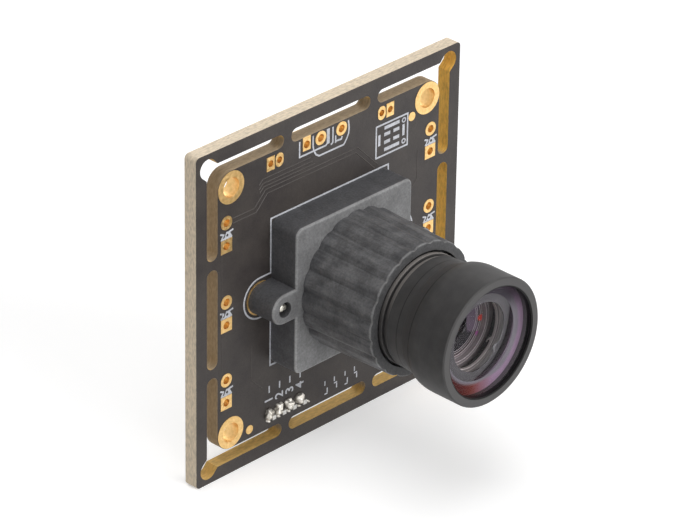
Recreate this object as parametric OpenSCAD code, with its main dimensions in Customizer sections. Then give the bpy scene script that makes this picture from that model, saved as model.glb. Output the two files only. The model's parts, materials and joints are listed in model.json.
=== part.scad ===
// Camera module: a square circuit board in its break-off frame, a fluted lens
// holder screwed on from behind, and a small fixed-focus lens threaded into it.
// Every piece is drawn with the board lying flat and the lens pointing up, and
// upright() then stands it up: right stays +X, up the board becomes +Z and the
// lens points along -Y. The origin is the middle of the four corner holes, on
// the rear face of the board.

/* [Board] */
// Side of the square module inside the frame
core_side = 32; // [31:0.5:36]
// Thickness of the laminate
board_t = 1.6; // [1:0.1:2.4]
// Width of the routed slot between module and rail
slot_w = 1.5; // [1:0.1:2]
// Width of the break-off rail outside the slot
rail_w = 1.5; // [1.3:0.1:4]
// Rounding of the outer corners of the rail
rail_corner_r = 0.5; // [0.2:0.1:1]
// Half the length of the slot in the middle of each side
middle_slot_half = 5.7; // [4:0.1:7]
// Width of each bridge that carries the module in the frame
bridge_w = 1.05; // [0.8:0.05:2]
// Radius of the relief drilled at each corner of the slot
relief_r = 1.1; // [0.9:0.05:1.2]
// Distance of the relief's centre inside the slot corner
relief_back = 0.2; // [0.1:0.05:0.4]

/* [Corner holes] */
// Distance of each corner hole from the two module edges beside it
hole_inset = 1.85; // [1.8:0.05:2.4]
// Radius of the corner screw holes
corner_hole_r = 1.1; // [0.9:0.05:1.25]
// Bare laminate between a corner land and the module's edge
land_margin = 0.05; // [0.02:0.01:0.2]
// Thickness of the gold plated copper
plating_t = 0.04; // [0.03:0.01:0.08]

/* [Lamp pads] */
// Distance of the lamp pads from the side edges of the module
lamp_inset = 1.22; // [1.1:0.02:1.6]
// Distance between the two pads of one lamp
lamp_pitch = 2.62; // [2.3:0.02:3]
// Distance between neighbouring lamps
lamp_row_pitch = 9.06; // [8:0.02:9.6]
// Radius of a round lamp pad, and half the side of a square one
lamp_pad_r = 0.77; // [0.65:0.01:0.85]
// Radius of the holes in the lamp pads
lamp_hole_r = 0.42; // [0.3:0.01:0.5]

/* [Edge pads] */
// Distance of the two header pairs from the top edge of the module
header_inset = 1.2; // [1:0.05:1.6]
// Distance of the middle of each header pair from the centre line
header_x = 8; // [7:0.1:9]
// Distance between the two pads of a header pair
header_pitch = 1.24; // [1.2:0.02:1.6]
// Width of a header pad
header_pad_w = 1.1; // [0.9:0.02:1.16]
// Height of a header pad
header_pad_h = 1.55; // [1.3:0.05:1.8]
// Radius of the holes in the header pads
header_hole_r = 0.36; // [0.25:0.01:0.42]
// Distance of the light sensor pads from the top edge of the module
eye_inset = 0.87; // [0.8:0.01:1.2]
// Distance between the two round light sensor pads
eye_pitch = 3; // [2.54:0.02:3.2]
// Distance of the square supply pad from the centre line
supply_x = 3.52; // [3.4:0.02:4.2]
// Radius of the fiducial marks
fiducial_r = 0.5; // [0.4:0.05:0.6]

/* [Cable header] */
// Distance between neighbouring pins
pin_pitch = 1.5; // [1.25:0.05:2]
// Number of pins
pin_count = 4; // [3:1:5]
// Distance of the pin row left of the centre line
header_left = 6.3; // [5.5:0.05:7]
// Distance of the pin row from the bottom edge of the module
pin_inset = 1.6; // [1.3:0.05:2.2]
// Side of a square pin
pin_side = 0.5; // [0.4:0.02:0.6]
// Height of the plastic shroud behind the board
shroud_h = 6; // [5:0.1:7]
// Depth of the shroud from front to back of its mouth
shroud_d = 3.5; // [3.3:0.1:4]
// Wall of the shroud
shroud_wall = 0.5; // [0.4:0.05:0.6]

/* [Lens holder] */
// Side of the square base
base_side = 16.8; // [16.4:0.1:18]
// Height of the base above the board
base_h = 3.6; // [3.3:0.1:5]
// Rounding of the upright corners of the base
base_corner_r = 0.9; // [0.6:0.05:1.4]
// Rounding of the front edges of base and ears
soft_edge_r = 0.35; // [0.2:0.05:0.5]
// Height of the whole holder above the board
holder_h = 13; // [12:0.1:15]
// Number of flutes round the barrel
flute_count = 20; // [16:1:24]
// Radius over the ridges where the barrel leaves the base
ridge_r = 7.65; // [7.4:0.05:8]
// Depth of a flute below the ridges
flute_depth = 0.24; // [0.15:0.01:0.45]
// Share of the circle that the flutes take, the rest is the crests of the ridges
flute_share = 0.8; // [0.6:0.05:0.85]
// Draft: how much smaller the barrel is at its mouth
draft = 0.3; // [0.1:0.05:0.4]
// Rounding of the outer edge of the mouth
mouth_edge_r = 0.2; // [0.1:0.05:0.5]
// Radius of the recess in the mouth
mouth_r = 6.36; // [6.2:0.02:6.6]
// Depth of the recess in the mouth
mouth_depth = 1.2; // [0.6:0.1:2]
// Distance between the two ear screws
ear_span = 20; // [19.6:0.1:21]
// Radius of the ears
ear_r = 1.7; // [1.5:0.05:2]
// Wall of the base round the sensor
base_wall = 1.9; // [1.4:0.1:2.2]
// Height of the sensor chamber above the board
chamber_h = 2; // [1.7:0.1:2.2]
// Thickness of the web that carries the filter
web_t = 0.6; // [0.5:0.05:0.9]

/* [Ear screws] */
// Radius of the screw shank
shank_r = 0.85; // [0.7:0.05:0.95]
// Length of the shank below the head
shank_len = 4.8; // [3.5:0.1:4.9]
// Radius of the pan head
screw_head_r = 1.6; // [1.4:0.05:1.8]
// Height of the pan head
screw_head_h = 1.1; // [0.8:0.05:1.3]
// Clearance of the shank in the board
screw_clear = 0.15; // [0.1:0.01:0.2]

/* [Sensor and filter] */
// Side of the sensor package
sensor_side = 8; // [7:0.1:9]
// Height of the sensor package
sensor_h = 0.9; // [0.7:0.05:1]
// Side of the well in the package
sensor_well = 6.4; // [5.8:0.1:6.6]
// Side of the sensor die
die_side = 5.4; // [4:0.1:5.6]
// Thickness of the sensor die
die_t = 0.3; // [0.2:0.05:0.4]
// Thickness of the glass over the sensor
cover_glass_t = 0.4; // [0.3:0.05:0.5]
// Side of the infrared filter
filter_side = 8.4; // [7.6:0.05:8.4]
// Thickness of the infrared filter
filter_t = 0.3; // [0.2:0.05:0.5]

/* [Lens] */
// Radius over the lens thread
thread_r = 6; // [5.8:0.05:6]
// Length of the thread
thread_len = 8.4; // [7:0.1:8.8]
// How far the lens stands out of the holder
lens_out = 9.65; // [9.4:0.05:11]
// Radius of the head
head_r = 7; // [6.9:0.05:7.4]
// Length of the straight head
head_len = 3.85; // [3.6:0.05:5]
// Length of the round blend behind the head
blend_len = 1.25; // [1:0.05:1.6]
// Length of the cone between neck and blend
cone_len = 1.45; // [1.1:0.05:1.8]
// Radius where the cone meets the blend
cone_top_r = 6.78; // [6.6:0.02:6.84]
// Radius of the neck in front of the cone's foot
neck_r = 6.15; // [6.12:0.01:6.3]
// Length of the neck
neck_len = 2.6; // [2:0.1:2.8]
// Depth of the fine step half way along the neck
neck_step = 0.06; // [0.03:0.01:0.08]
// Radius of the plain collar in front of the thread
collar_r = 6.09; // [6.02:0.01:6.15]
// Length of the collar
collar_len = 0.45; // [0.3:0.05:0.6]
// Width of the relief groove between collar and neck
groove_w = 0.2; // [0.15:0.05:0.4]
// Depth of the relief groove below the collar
groove_depth = 0.25; // [0.15:0.05:0.4]
// Length of the bevel at the rear end of the neck
neck_bevel_len = 0.5; // [0.3:0.05:0.6]
// Bevel round the front of the head
head_bevel = 0.14; // [0.08:0.02:0.2]
// Radius of the bore in the head
head_bore_r = 6.12; // [5.9:0.02:6.2]
// Depth of the seat of the front element
front_seat_depth = 1.95; // [1.8:0.05:2.2]
// Radius of the bore that holds the second element
front_bore_r = 4.95; // [4.8:0.05:5.2]
// Radius of the bore that holds the rear elements
rear_bore_r = 4; // [3.6:0.05:4.2]
// Radius of the opening at the rear of the lens
rear_opening_r = 3.2; // [2.8:0.1:3.3]
// Radial clearance of glass, spacers and thread
lens_fit = 0.03; // [0.02:0.01:0.04]

/* [Glass] */
// Height of the front element's cylindrical rim
front_rim_h = 1.6; // [1.4:0.05:1.65]
// Bulge of the front element's outer face
front_bulge = 0.75; // [0.5:0.05:1]
// Width of the black ring that retains the front element
retaining_w = 0.14; // [0.12:0.01:0.22]
// Height of the retaining ring
retaining_h = 0.2; // [0.15:0.05:0.25]
// Radius of the hollow in the front element's rear face
hollow_r = 4.6; // [4.2:0.05:4.7]
// Depth of that hollow
hollow_depth = 1.2; // [0.8:0.05:1.3]
// Radius of the opening in the light shield behind the front element
shield_r = 3.75; // [3.6:0.05:4.1]
// Thickness of the light shield
shield_t = 0.08; // [0.05:0.01:0.1]
// Thickness of the spacer behind the light shield
front_spacer_t = 1.2; // [1:0.05:1.3]
// Rim of the second element
second_rim = 1.6; // [1.4:0.05:1.7]
// Length of the funnel ring behind the second element
funnel_len = 1.8; // [1.6:0.05:2]
// Radius of the small end of the funnel
funnel_r = 1.8; // [1.5:0.05:2.2]
// Thickness of the aperture plate
stop_t = 0.15; // [0.1:0.01:0.2]
// Radius of the aperture
stop_r = 1.1; // [0.8:0.05:1.5]
// Rim of the third element
third_rim = 2.6; // [2:0.1:2.8]
// Length of the rear spacer
rear_spacer_len = 3.4; // [2:0.1:3.8]
// Rim of the rear element
rear_rim = 2.4; // [1.8:0.1:2.8]

/* [Rear side] */
// Side of the processor's body
processor_side = 7; // [6:0.5:7]
// Height of the processor's body
processor_h = 1.4; // [1:0.1:1.6]
// Leads on each side of the processor
processor_leads_side = 12; // [8:1:12]
// Distance between neighbouring processor leads
processor_pitch = 0.5; // [0.4:0.05:0.5]
// Length of the memory chip
flash_len = 4.9; // [4.5:0.1:5.2]
// Width of the memory chip
flash_w = 3.9; // [3.5:0.1:4]
// Height of the memory chip
flash_h = 1.5; // [1.2:0.1:1.75]
// Length of the crystal's can
crystal_len = 5; // [3.2:0.1:5.4]
// Width of the crystal's can
crystal_w = 3.2; // [2.5:0.1:3.6]
// Height of the crystal's can
crystal_h = 1.1; // [0.7:0.1:1.3]
// Length of a regulator's body
regulator_len = 2.9; // [2.6:0.1:3]
// Width of a regulator's body
regulator_w = 1.4; // [1.2:0.1:1.6]
// Height of a regulator's body
regulator_h = 1.1; // [0.9:0.1:1.2]
// Length of the tantalum capacitor
bulk_len = 3.5; // [3:0.1:4]
// Width of the tantalum capacitor
bulk_w = 2.8; // [2.4:0.1:3]
// Height of the tantalum capacitor
bulk_h = 1.9; // [1.5:0.1:2]
// Length of a small chip part
chip_len = 1.6; // [1:0.1:1.8]
// Width of a small chip part
chip_w = 0.8; // [0.5:0.1:0.9]

/* [Printed legend] */
// Thickness of the printed ink
ink_t = 0.02; // [0.01:0.005:0.04]
// Width of a printed line
ink_w = 0.19; // [0.12:0.01:0.24]
// Width of the marking box beside the upper right corner
marking_w = 4.65; // [4:0.05:4.9]
// Height of the marking box
marking_h = 3.6; // [3:0.1:3.8]
// Distance of the marking box from the top edge of the module
marking_down = 2.6; // [2.4:0.1:3]

/* [Hidden] */
$fn = 72;
// Overshoot of every cut past the faces it opens
cut = 0.5;
// Bare gap between the holder's foot and the plating or ink beside it
foot_gap = 0.02;

// Small clearances and margins on the board
pin_play = 0.05;
pin_land_w = 0.28;
ear_land_w = 0.15;
ear_ring_w = 0.2;
ear_outline_gap = 0.4;
fiducial_under_land = 0.05;
fiducial_down = 3.2;
fiducial_gap = 0.4;
fiducial_up = 0.55;
series_resistors_in = 2.1;
resistor_gap = 0.3;
top_row_down = 4.2;
crystal_caps_out = 1.5;
crystal_caps_down = 2.9;

// Board
core_half = core_side / 2;
slot_outer_half = core_half + slot_w;
board_side = core_side + 2 * (slot_w + rail_w);
hole_c = core_half - hole_inset;
corner_land_r = hole_inset - land_margin;
relief_c = slot_outer_half - relief_back;
corner_slot_start = middle_slot_half + bridge_w;
slot_line = core_half + slot_w / 2;
lamp_x = core_half - lamp_inset;
header_y = core_half - header_inset;
eye_y = core_half - eye_inset;
pin_y = pin_inset - core_half;
pin_hole_r = pin_side / sqrt(2) + pin_play;
pin_land_r = pin_hole_r + pin_land_w;
ear_x = ear_span / 2;
ear_board_hole_r = shank_r + screw_clear;
ear_land_r = screw_head_r + ear_land_w;
ear_ring_r = ear_r + ear_ring_w;
ear_outline_r = ear_r + ear_ring_w + ear_outline_gap;
fiducial_places = [
    [hole_c - corner_land_r - fiducial_r + fiducial_under_land, core_half - fiducial_down],
    [corner_land_r + fiducial_r + fiducial_gap - hole_c, fiducial_up + fiducial_r - core_half]
];

// Holder: heights are counted from the rear face of the board
mouth_z = board_t + holder_h;
base_z = board_t + base_h;
web_z = board_t + chamber_h;
filter_z = web_z + web_t;
thread_bore_z = filter_z + filter_t + 0.3;
thread_bore_r = thread_r + lens_fit;
chamber_side = base_side - 2 * base_wall;
filter_window = filter_side - 1.4;
filter_well = filter_side + 0.1;
flute_half_angle = 180 / flute_count;

// Lens: heights from the rear face of the board
lens_front_z = mouth_z + lens_out;
head_z = lens_front_z - head_len;
blend_z = head_z - blend_len;
cone_z = blend_z - cone_len;
neck_z = cone_z - neck_len;
groove_z = neck_z - groove_w;
collar_z = groove_z - collar_len;
tail_z = groove_z - thread_len;
front_seat_z = lens_front_z - front_seat_depth;
shield_z = front_seat_z - shield_t;
front_spacer_z = shield_z - front_spacer_t;
second_z = front_spacer_z - second_rim;
funnel_z = second_z - funnel_len;
stop_z = funnel_z - stop_t;
third_z = stop_z - third_rim;
rear_spacer_z = third_z - rear_spacer_len;
rear_z = rear_spacer_z - rear_rim;
front_glass_r = head_bore_r - lens_fit;
front_stack_r = front_bore_r - lens_fit;
front_opening_r = front_stack_r - 1.05;
rear_stack_r = rear_bore_r - lens_fit;
rear_ring_r = rear_stack_r - 0.6;

// Sensor: floor of the well in the package, above the package's foot
well_z = sensor_h - die_t - 0.15;

// Rear side places
flash_at = [-8.7, 9];
crystal_at = [8.8, 8.6];
bulk_at = [1.6, -11.6];
regulator_xs = [6.4, 10];
regulator_y = -8.4;
bead_xs = [-8.4, -5.6];
bead_y = -9.6;
decoupling_ring = 6.3;
decoupling_offset = 2;
regulator_caps_out = 3;
top_resistor_xs = [-3.2, -0.8, 1.6];
series_resistor_x = lamp_x - series_resistors_in;
middle_resistor_y = ear_land_r + chip_len / 2 + resistor_gap;
end_cap = 0.28;
chip_h = 0.75;
resistor_h = 0.65 * chip_h;
bead_len = 2;
bead_w = 1.25;
bead_h = 0.9;

// Leads leave a moulded body at this share of its height
lead_frame = 0.45;
lead_t = 0.13;
// Dimple that marks the first lead of a chip
dimple_r = 0.3;
dimple_depth = 0.05;

// Stands the flat drawing up
module upright() rotate([90, 0, 0]) children();

// Places a part on the rear face of the board, with its foot on the laminate
module behind(place = [0, 0], turn = 0) {
    translate([place[0], place[1], 0]) mirror([0, 0, 1]) rotate(turn) children();
}

module rounded_square(side, r) {
    square([side - 2 * r, side], center = true);
    square([side, side - 2 * r], center = true);
    for (x = [-1, 1], y = [-1, 1]) {
        translate([x * (side / 2 - r), y * (side / 2 - r)]) circle(r);
    }
}

// A bar with round ends, along x
module stadium(len, w) {
    square([len - w, w], center = true);
    for (side = [-1, 1]) translate([side * (len - w) / 2, 0]) circle(w / 2);
}

// A pad with a hole, plated through the board: children() is the outline of its land
module plated_hole(place, hole_r) {
    translate([place[0], place[1], 0]) difference() {
        union() {
            translate([0, 0, board_t]) linear_extrude(plating_t) children();
            translate([0, 0, -plating_t]) linear_extrude(plating_t) children();
            cylinder(r = hole_r + plating_t, h = board_t);
        }
        translate([0, 0, -cut]) cylinder(r = hole_r, h = board_t + 2 * cut);
    }
}

module at_corners() {
    for (x = [-1, 1], y = [-1, 1]) translate([x * hole_c, y * hole_c]) children();
}

// The slot round one corner of the module, with the relief at its knee
module corner_slot() {
    run = slot_outer_half - corner_slot_start - slot_w / 2;
    difference() {
        union() {
            for (flip = [0, 1]) mirror([flip, -flip, 0]) {
                translate([corner_slot_start + slot_w / 2, core_half]) square([run, slot_w]);
                translate([corner_slot_start + slot_w / 2, slot_line]) circle(slot_w / 2);
            }
            translate([hole_c, hole_c]) square(slot_outer_half - hole_c);
            translate([relief_c, relief_c]) circle(relief_r);
            polygon([
                [relief_c - relief_r / sqrt(2), relief_c + relief_r / sqrt(2)],
                [core_half, slot_outer_half],
                [slot_outer_half, core_half],
                [relief_c + relief_r / sqrt(2), relief_c - relief_r / sqrt(2)]
            ]);
        }
        translate([hole_c, hole_c]) circle(hole_inset);
        translate([hole_c - 2 * hole_inset, hole_c - hole_inset]) square([2 * hole_inset, 2 * hole_inset]);
        translate([hole_c - hole_inset, hole_c - 2 * hole_inset]) square([2 * hole_inset, 2 * hole_inset]);
    }
}

module board_cuts() {
    for (turn = [0:90:270]) rotate(turn) {
        corner_slot();
        translate([0, slot_line]) stadium(2 * middle_slot_half, slot_w);
    }
    at_corners() circle(corner_hole_r + plating_t);
    for (place = lamp_places) translate(place) circle(lamp_hole_r + plating_t);
    for (place = header_places) translate(place) circle(header_hole_r + plating_t);
    for (place = eye_places) translate(place) circle(lamp_hole_r + plating_t);
    for (place = pin_places) translate(place) circle(pin_hole_r);
    for (side = [-1, 1]) translate([side * ear_x, 0]) circle(ear_board_hole_r);
}

lamp_places = [for (x = [-lamp_x, lamp_x], row = [-1:1], end = [-1, 1])
    [x, row * lamp_row_pitch + end * lamp_pitch / 2]];
header_places = [for (side = [-1, 1], end = [-1, 1])
    [side * header_x + end * header_pitch / 2, header_y]];
eye_places = [[-supply_x, eye_y], [-eye_pitch / 2, eye_y], [eye_pitch / 2, eye_y]];
pin_places = [for (i = [0:pin_count - 1]) [(i - (pin_count - 1) / 2) * pin_pitch - header_left, pin_y]];

module circuit_board() {
    color([0.27, 0.26, 0.25]) upright() linear_extrude(board_t) difference() {
        rounded_square(board_side, rail_corner_r);
        board_cuts();
    }
}

module corner_hole_plating() {
    color([0.93, 0.72, 0.42]) upright() for (x = [-1, 1], y = [-1, 1]) {
        plated_hole([x * hole_c, y * hole_c], corner_hole_r) circle(corner_land_r);
    }
}

// Each lamp has a round upper pad and a square lower one
module lamp_pads() {
    color([0.98, 0.78, 0.48]) upright() for (i = [0:len(lamp_places) - 1]) {
        plated_hole(lamp_places[i], lamp_hole_r) {
            if (i % 2 == 1) circle(lamp_pad_r);
            else square(2 * lamp_pad_r, center = true);
        }
    }
}

// The outer pad of each header pair is square and the inner one has round ends
module header_pads() {
    color([0.98, 0.78, 0.48]) upright() for (place = header_places) {
        plated_hole(place, header_hole_r) {
            if (abs(place[0]) > header_x) square([header_pad_w, header_pad_h], center = true);
            else rotate(90) stadium(header_pad_h, header_pad_w);
        }
    }
}

module light_sensor_pads() {
    color([0.98, 0.78, 0.48]) upright() for (i = [0:2]) {
        plated_hole(eye_places[i], lamp_hole_r) {
            if (i == 0) {
                translate([0, eye_inset - lamp_pad_r]) square([header_pad_w, 2 * lamp_pad_r], center = true);
            } else {
                circle(lamp_pad_r);
            }
        }
    }
}

// Lands under the heads of the two ear screws, and a thin ring in front
module ear_hole_lands() {
    color([0.93, 0.72, 0.42]) upright() for (side = [-1, 1]) translate([side * ear_x, 0, 0]) {
        translate([0, 0, -plating_t]) linear_extrude(plating_t) difference() {
            circle(ear_land_r);
            circle(ear_board_hole_r);
        }
        translate([0, 0, board_t]) linear_extrude(plating_t) difference() {
            circle(ear_ring_r);
            circle(ear_r + foot_gap);
            translate([-side * base_side / 2, 0]) square([base_side, 2 * (ear_r + foot_gap)], center = true);
        }
    }
}

module fiducial_marks() {
    color([1, 0.84, 0.62]) upright() for (place = fiducial_places) {
        translate([place[0], place[1], board_t]) cylinder(r = fiducial_r, h = plating_t);
    }
}

// Printed lines
module ink_bar(place, size) translate(place) square(size, center = true);

// A printed line through the given points, with round corners
module ink_path(points) {
    for (i = [0:len(points) - 2]) {
        run = points[i + 1] - points[i];
        translate((points[i] + points[i + 1]) / 2) rotate(atan2(run[1], run[0]))
            square([norm(run), ink_w], center = true);
        if (i > 0) translate(points[i]) circle(ink_w / 2, $fn = 24);
    }
}

module holder_outline(grow) {
    half = base_side / 2 + ink_w / 2 + foot_gap;
    square(2 * (half + grow), center = true);
    stadium(ear_span + 2 * (ear_outline_r + grow), 2 * (ear_outline_r + grow));
}

// A diode between the two pads of a lamp: a broken line and a small filled wedge
module diode_sign() {
    gap = lamp_pitch / 2 - lamp_pad_r;
    low = ink_w / 2 + 0.02 - gap;
    ink_path([[-0.86, 0.5 * gap], [-0.38, 0.15 * gap], [-0.7, low], [0.8, low]]);
    ink_path([[0.7, low], [0.36, 0.35 * gap], [0.95, 0.55 * gap]]);
    difference() {
        polygon([[-0.35, low], [0, 0.55 * gap], [0.36, 0.45 * gap], [0.7, low]]);
        translate([0.12, -0.2 * gap]) circle(0.16, $fn = 24);
    }
}

// Outline of the light sensor, open towards the edge of the board, with plain
// strokes between its pads
module light_sensor_sign() {
    wide = eye_pitch / 2 + 1.1;
    deep = eye_y - 1.96;
    top = eye_y + 0.6;
    supply_low = eye_y - 1.13;
    ink_path([
        [-wide, top],
        [-wide, eye_y - 0.5],
        [-wide + 0.12, eye_y - 1.1],
        [-wide + 0.45, deep + 0.3],
        [-wide + 0.9, deep],
        [wide - 0.75, deep],
        [wide - 0.35, deep + 0.5],
        [wide - 0.06, eye_y - 0.9],
        [wide, eye_y - 0.3],
        [wide - 0.12, top]
    ]);
    ink_path([[-supply_x - 1, top], [-supply_x - 1, supply_low], [-0.75, supply_low], [-0.45, eye_y - 0.9]]);
    ink_bar([-0.42, eye_y - 0.2], [2.2 * ink_w, 1.7]);
    ink_path([[-0.02, eye_y - 1.3], [0.26, eye_y - 1.15], [0.26, top]]);
    ink_path([[0.66, eye_y - 0.5], [0.66, eye_y - 1.35]]);
    ink_path([[0.66, eye_y - 1.15], [1.5, eye_y - 1.2], [1.6, eye_y - 0.92]]);
}

// A plain box of bars and rings beside the upper right corner
module marking_box() {
    bar = 0.105 * marking_h;
    dot_r = 0.085 * marking_h;
    right = fiducial_places[0][0] - fiducial_r - ink_w / 2 - foot_gap;
    translate([right - marking_w / 2, core_half - marking_down - marking_h / 2]) {
        difference() {
            square([marking_w + ink_w, marking_h + ink_w], center = true);
            square([marking_w - ink_w, marking_h - ink_w], center = true);
        }
        for (y = [-0.33, 0.36]) ink_bar([0, y * marking_h], [0.48 * marking_w, bar]);
        for (x = [-0.15, 0.14], y = [-0.1, 0.15])
            ink_bar([x * marking_w, y * marking_h], [0.19 * marking_w, bar]);
        for (x = [-0.4, 0.37])
            ink_bar([x * marking_w, 0.03 * marking_h], [0.07 * marking_w, 0.35 * marking_h]);
        for (y = [-0.33, 0.34]) translate([0.38 * marking_w, y * marking_h]) difference() {
            circle(dot_r, $fn = 36);
            circle(0.53 * dot_r, $fn = 36);
        }
    }
}

module printed_legend() {
    color([0.9, 0.9, 0.92]) upright() translate([0, 0, board_t]) linear_extrude(ink_t) {
        difference() {
            holder_outline(ink_w / 2);
            holder_outline(-ink_w / 2);
        }
        for (x = [-lamp_x, lamp_x], row = [-1:1]) translate([x, row * lamp_row_pitch]) diode_sign();
        light_sensor_sign();
        marking_box();
    }
}

// Solder cones round the pins, with the pin passing through
module solder_joints() {
    foot_r = pin_land_r;
    tall = 2.1 * pin_side;
    hollow = 2.6 * pin_side;
    flank_in = foot_r - 0.52 * pin_side;
    edge = 0.12 * pin_side;
    color([0.82, 0.82, 0.8]) upright() for (place = pin_places) {
        translate([place[0], place[1], board_t]) difference() {
            rotate_extrude() difference() {
                square([foot_r, tall]);
                translate([flank_in + hollow, hollow + edge]) circle(hollow);
                translate([flank_in, hollow + edge]) square([foot_r, tall]);
            }
            translate([0, 0, tall / 2]) cube([pin_side, pin_side, tall + 2 * cut], center = true);
        }
    }
}

module cable_header_shroud() {
    long = (pin_count - 1) * pin_pitch + 2 * pin_pitch;
    floor_t = 1.3;
    shift = 0.4;
    key_w = 0.8;
    side_slot_w = 0.9;
    color([0.93, 0.9, 0.82]) upright() behind([-header_left, pin_y + shift]) difference() {
        translate([-long / 2, -shroud_d / 2, 0]) cube([long, shroud_d, shroud_h]);
        translate([-long / 2 + shroud_wall, -shroud_d / 2 + shroud_wall, floor_t])
            cube([long - 2 * shroud_wall, shroud_d - 2 * shroud_wall, shroud_h]);
        for (side = [-1, 1])
            translate([side * long / 4 - key_w / 2, shroud_d / 2 - shroud_wall - cut, floor_t + 1])
                cube([key_w, shroud_wall + 2 * cut, shroud_h]);
        translate([-long / 2 - cut, -side_slot_w / 2, floor_t + 1.6])
            cube([long + 2 * cut, side_slot_w, shroud_h]);
        for (place = pin_places) translate([place[0] + header_left, -shift, floor_t / 2])
            cube([pin_side, pin_side, floor_t + 2 * cut], center = true);
    }
}

module cable_header_pins() {
    front_tip = 0.75;
    rear_tip = shroud_h - 1.2;
    color([0.85, 0.83, 0.78]) upright() for (place = pin_places) {
        translate([place[0] - pin_side / 2, place[1] - pin_side / 2, -rear_tip])
            cube([pin_side, pin_side, rear_tip + board_t + front_tip]);
    }
}

// A square block whose upright corners and top edges are both rounded
module soft_block(side, h, corner_r, edge_r) {
    flat = side - 2 * corner_r;
    linear_extrude(h - edge_r) rounded_square(side, corner_r);
    linear_extrude(h) rounded_square(side - 2 * edge_r, corner_r - edge_r);
    for (turn = [0:90:270]) rotate(turn) {
        translate([side / 2 - edge_r, flat / 2, h - edge_r])
            rotate([90, 0, 0]) cylinder(r = edge_r, h = flat);
        translate([flat / 2, flat / 2, h - edge_r]) rotate_extrude(angle = 90)
            translate([corner_r - edge_r, 0]) circle(edge_r);
    }
}

// One screw ear, joined to the base by its straight flanks
module soft_ear(side) {
    root = base_side / 2 - base_corner_r;
    reach = ear_x - root;
    translate([side * ear_x, 0, 0]) {
        cylinder(r = ear_r, h = base_h - soft_edge_r);
        cylinder(r = ear_r - soft_edge_r, h = base_h);
        translate([0, 0, base_h - soft_edge_r]) rotate_extrude()
            translate([ear_r - soft_edge_r, 0]) circle(soft_edge_r);
    }
    translate([side * (root + reach / 2), 0, 0]) {
        translate([0, 0, (base_h - soft_edge_r) / 2])
            cube([reach, 2 * ear_r, base_h - soft_edge_r], center = true);
        translate([0, 0, base_h / 2]) cube([reach, 2 * (ear_r - soft_edge_r), base_h], center = true);
        for (y = [-1, 1]) translate([-reach / 2, y * (ear_r - soft_edge_r), base_h - soft_edge_r])
            rotate([0, 90, 0]) cylinder(r = soft_edge_r, h = reach);
    }
}

// Groove between two ridges, following the draft: its flanks bulge, so that the
// ridges come out round and meet in a fine line
module flute(tall) {
    half = flute_share * ridge_r * sin(flute_half_angle);
    flanks = [for (s = [-1:0.25:1]) [-flute_depth * pow(1 - abs(s), 1.6), s * half]];
    translate([ridge_r, 0, 0]) rotate([0, -atan(draft / tall), 0]) translate([0, 0, -cut])
        linear_extrude(tall + 2 * cut) polygon(concat([[cut, -half]], flanks, [[cut, half]]));
}

// Drafted barrel with a rounded mouth and flutes all round
module fluted_barrel() {
    tall = mouth_z - base_z + soft_edge_r;
    crest_r = ridge_r - draft;
    difference() {
        rotate_extrude() {
            polygon([
                [0, 0],
                [ridge_r, 0],
                [crest_r, tall - mouth_edge_r],
                [crest_r - mouth_edge_r, tall],
                [0, tall]
            ]);
            translate([crest_r - mouth_edge_r, tall - mouth_edge_r]) circle(mouth_edge_r);
        }
        for (i = [0:flute_count - 1]) rotate((i + 0.5) * 360 / flute_count) flute(tall);
    }
}

module lens_holder() {
    color([0.36, 0.36, 0.37]) upright() difference() {
        union() {
            translate([0, 0, board_t]) {
                soft_block(base_side, base_h, base_corner_r, soft_edge_r);
                for (side = [-1, 1]) soft_ear(side);
            }
            translate([0, 0, base_z - soft_edge_r]) fluted_barrel();
        }
        translate([0, 0, thread_bore_z]) cylinder(r = thread_bore_r, h = mouth_z);
        translate([0, 0, mouth_z - mouth_depth]) cylinder(r = mouth_r, h = mouth_depth + cut);
        translate([0, 0, filter_z + mouth_z / 2])
            cube([filter_well, filter_well, mouth_z], center = true);
        cube([filter_window, filter_window, 2 * mouth_z], center = true);
        translate([0, 0, board_t - cut]) linear_extrude(chamber_h + cut)
            rounded_square(chamber_side, base_corner_r);
        for (side = [-1, 1]) translate([side * ear_x, 0, board_t - cut])
            cylinder(r = shank_r, h = base_h + 2 * cut);
    }
}

// Pan head screws from behind: shank through the board into the ears
module ear_screws() {
    point = 1;
    recess = [1.2 * screw_head_r, 0.3, screw_head_h];
    color([0.75, 0.75, 0.77]) upright() for (side = [-1, 1]) translate([side * ear_x, 0, -plating_t]) {
        cylinder(r = shank_r, h = shank_len - point);
        translate([0, 0, shank_len - point]) cylinder(r1 = shank_r, r2 = 0.35 * shank_r, h = point);
        difference() {
            rotate_extrude() intersection() {
                translate([0, -screw_head_h]) square([screw_head_r, screw_head_h]);
                translate([0, 1.1 * screw_head_r - screw_head_h]) circle(1.12 * screw_head_r);
            }
            for (turn = [45, 135]) rotate(turn) translate([0, 0, -screw_head_h]) cube(recess, center = true);
        }
    }
}

module sensor_package() {
    color([0.12, 0.3, 0.22]) upright() translate([0, 0, board_t]) difference() {
        translate([0, 0, sensor_h / 2]) cube([sensor_side, sensor_side, sensor_h], center = true);
        translate([0, 0, sensor_h / 2 + well_z])
            cube([sensor_well, sensor_well, sensor_h], center = true);
    }
}

module sensor_die() {
    color([0.2, 0.18, 0.3]) upright() translate([0, 0, board_t + well_z + die_t / 2])
        cube([die_side, die_side, die_t], center = true);
}

module sensor_cover_glass() {
    color([0.7, 0.8, 0.8, 0.4]) upright() translate([0, 0, board_t + sensor_h + cover_glass_t / 2])
        cube([sensor_side - 0.4, sensor_side - 0.4, cover_glass_t], center = true);
}

module infrared_filter() {
    color([0.6, 0.75, 0.7, 0.5]) upright() translate([0, 0, filter_z + filter_t / 2])
        cube([filter_side, filter_side, filter_t], center = true);
}

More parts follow.
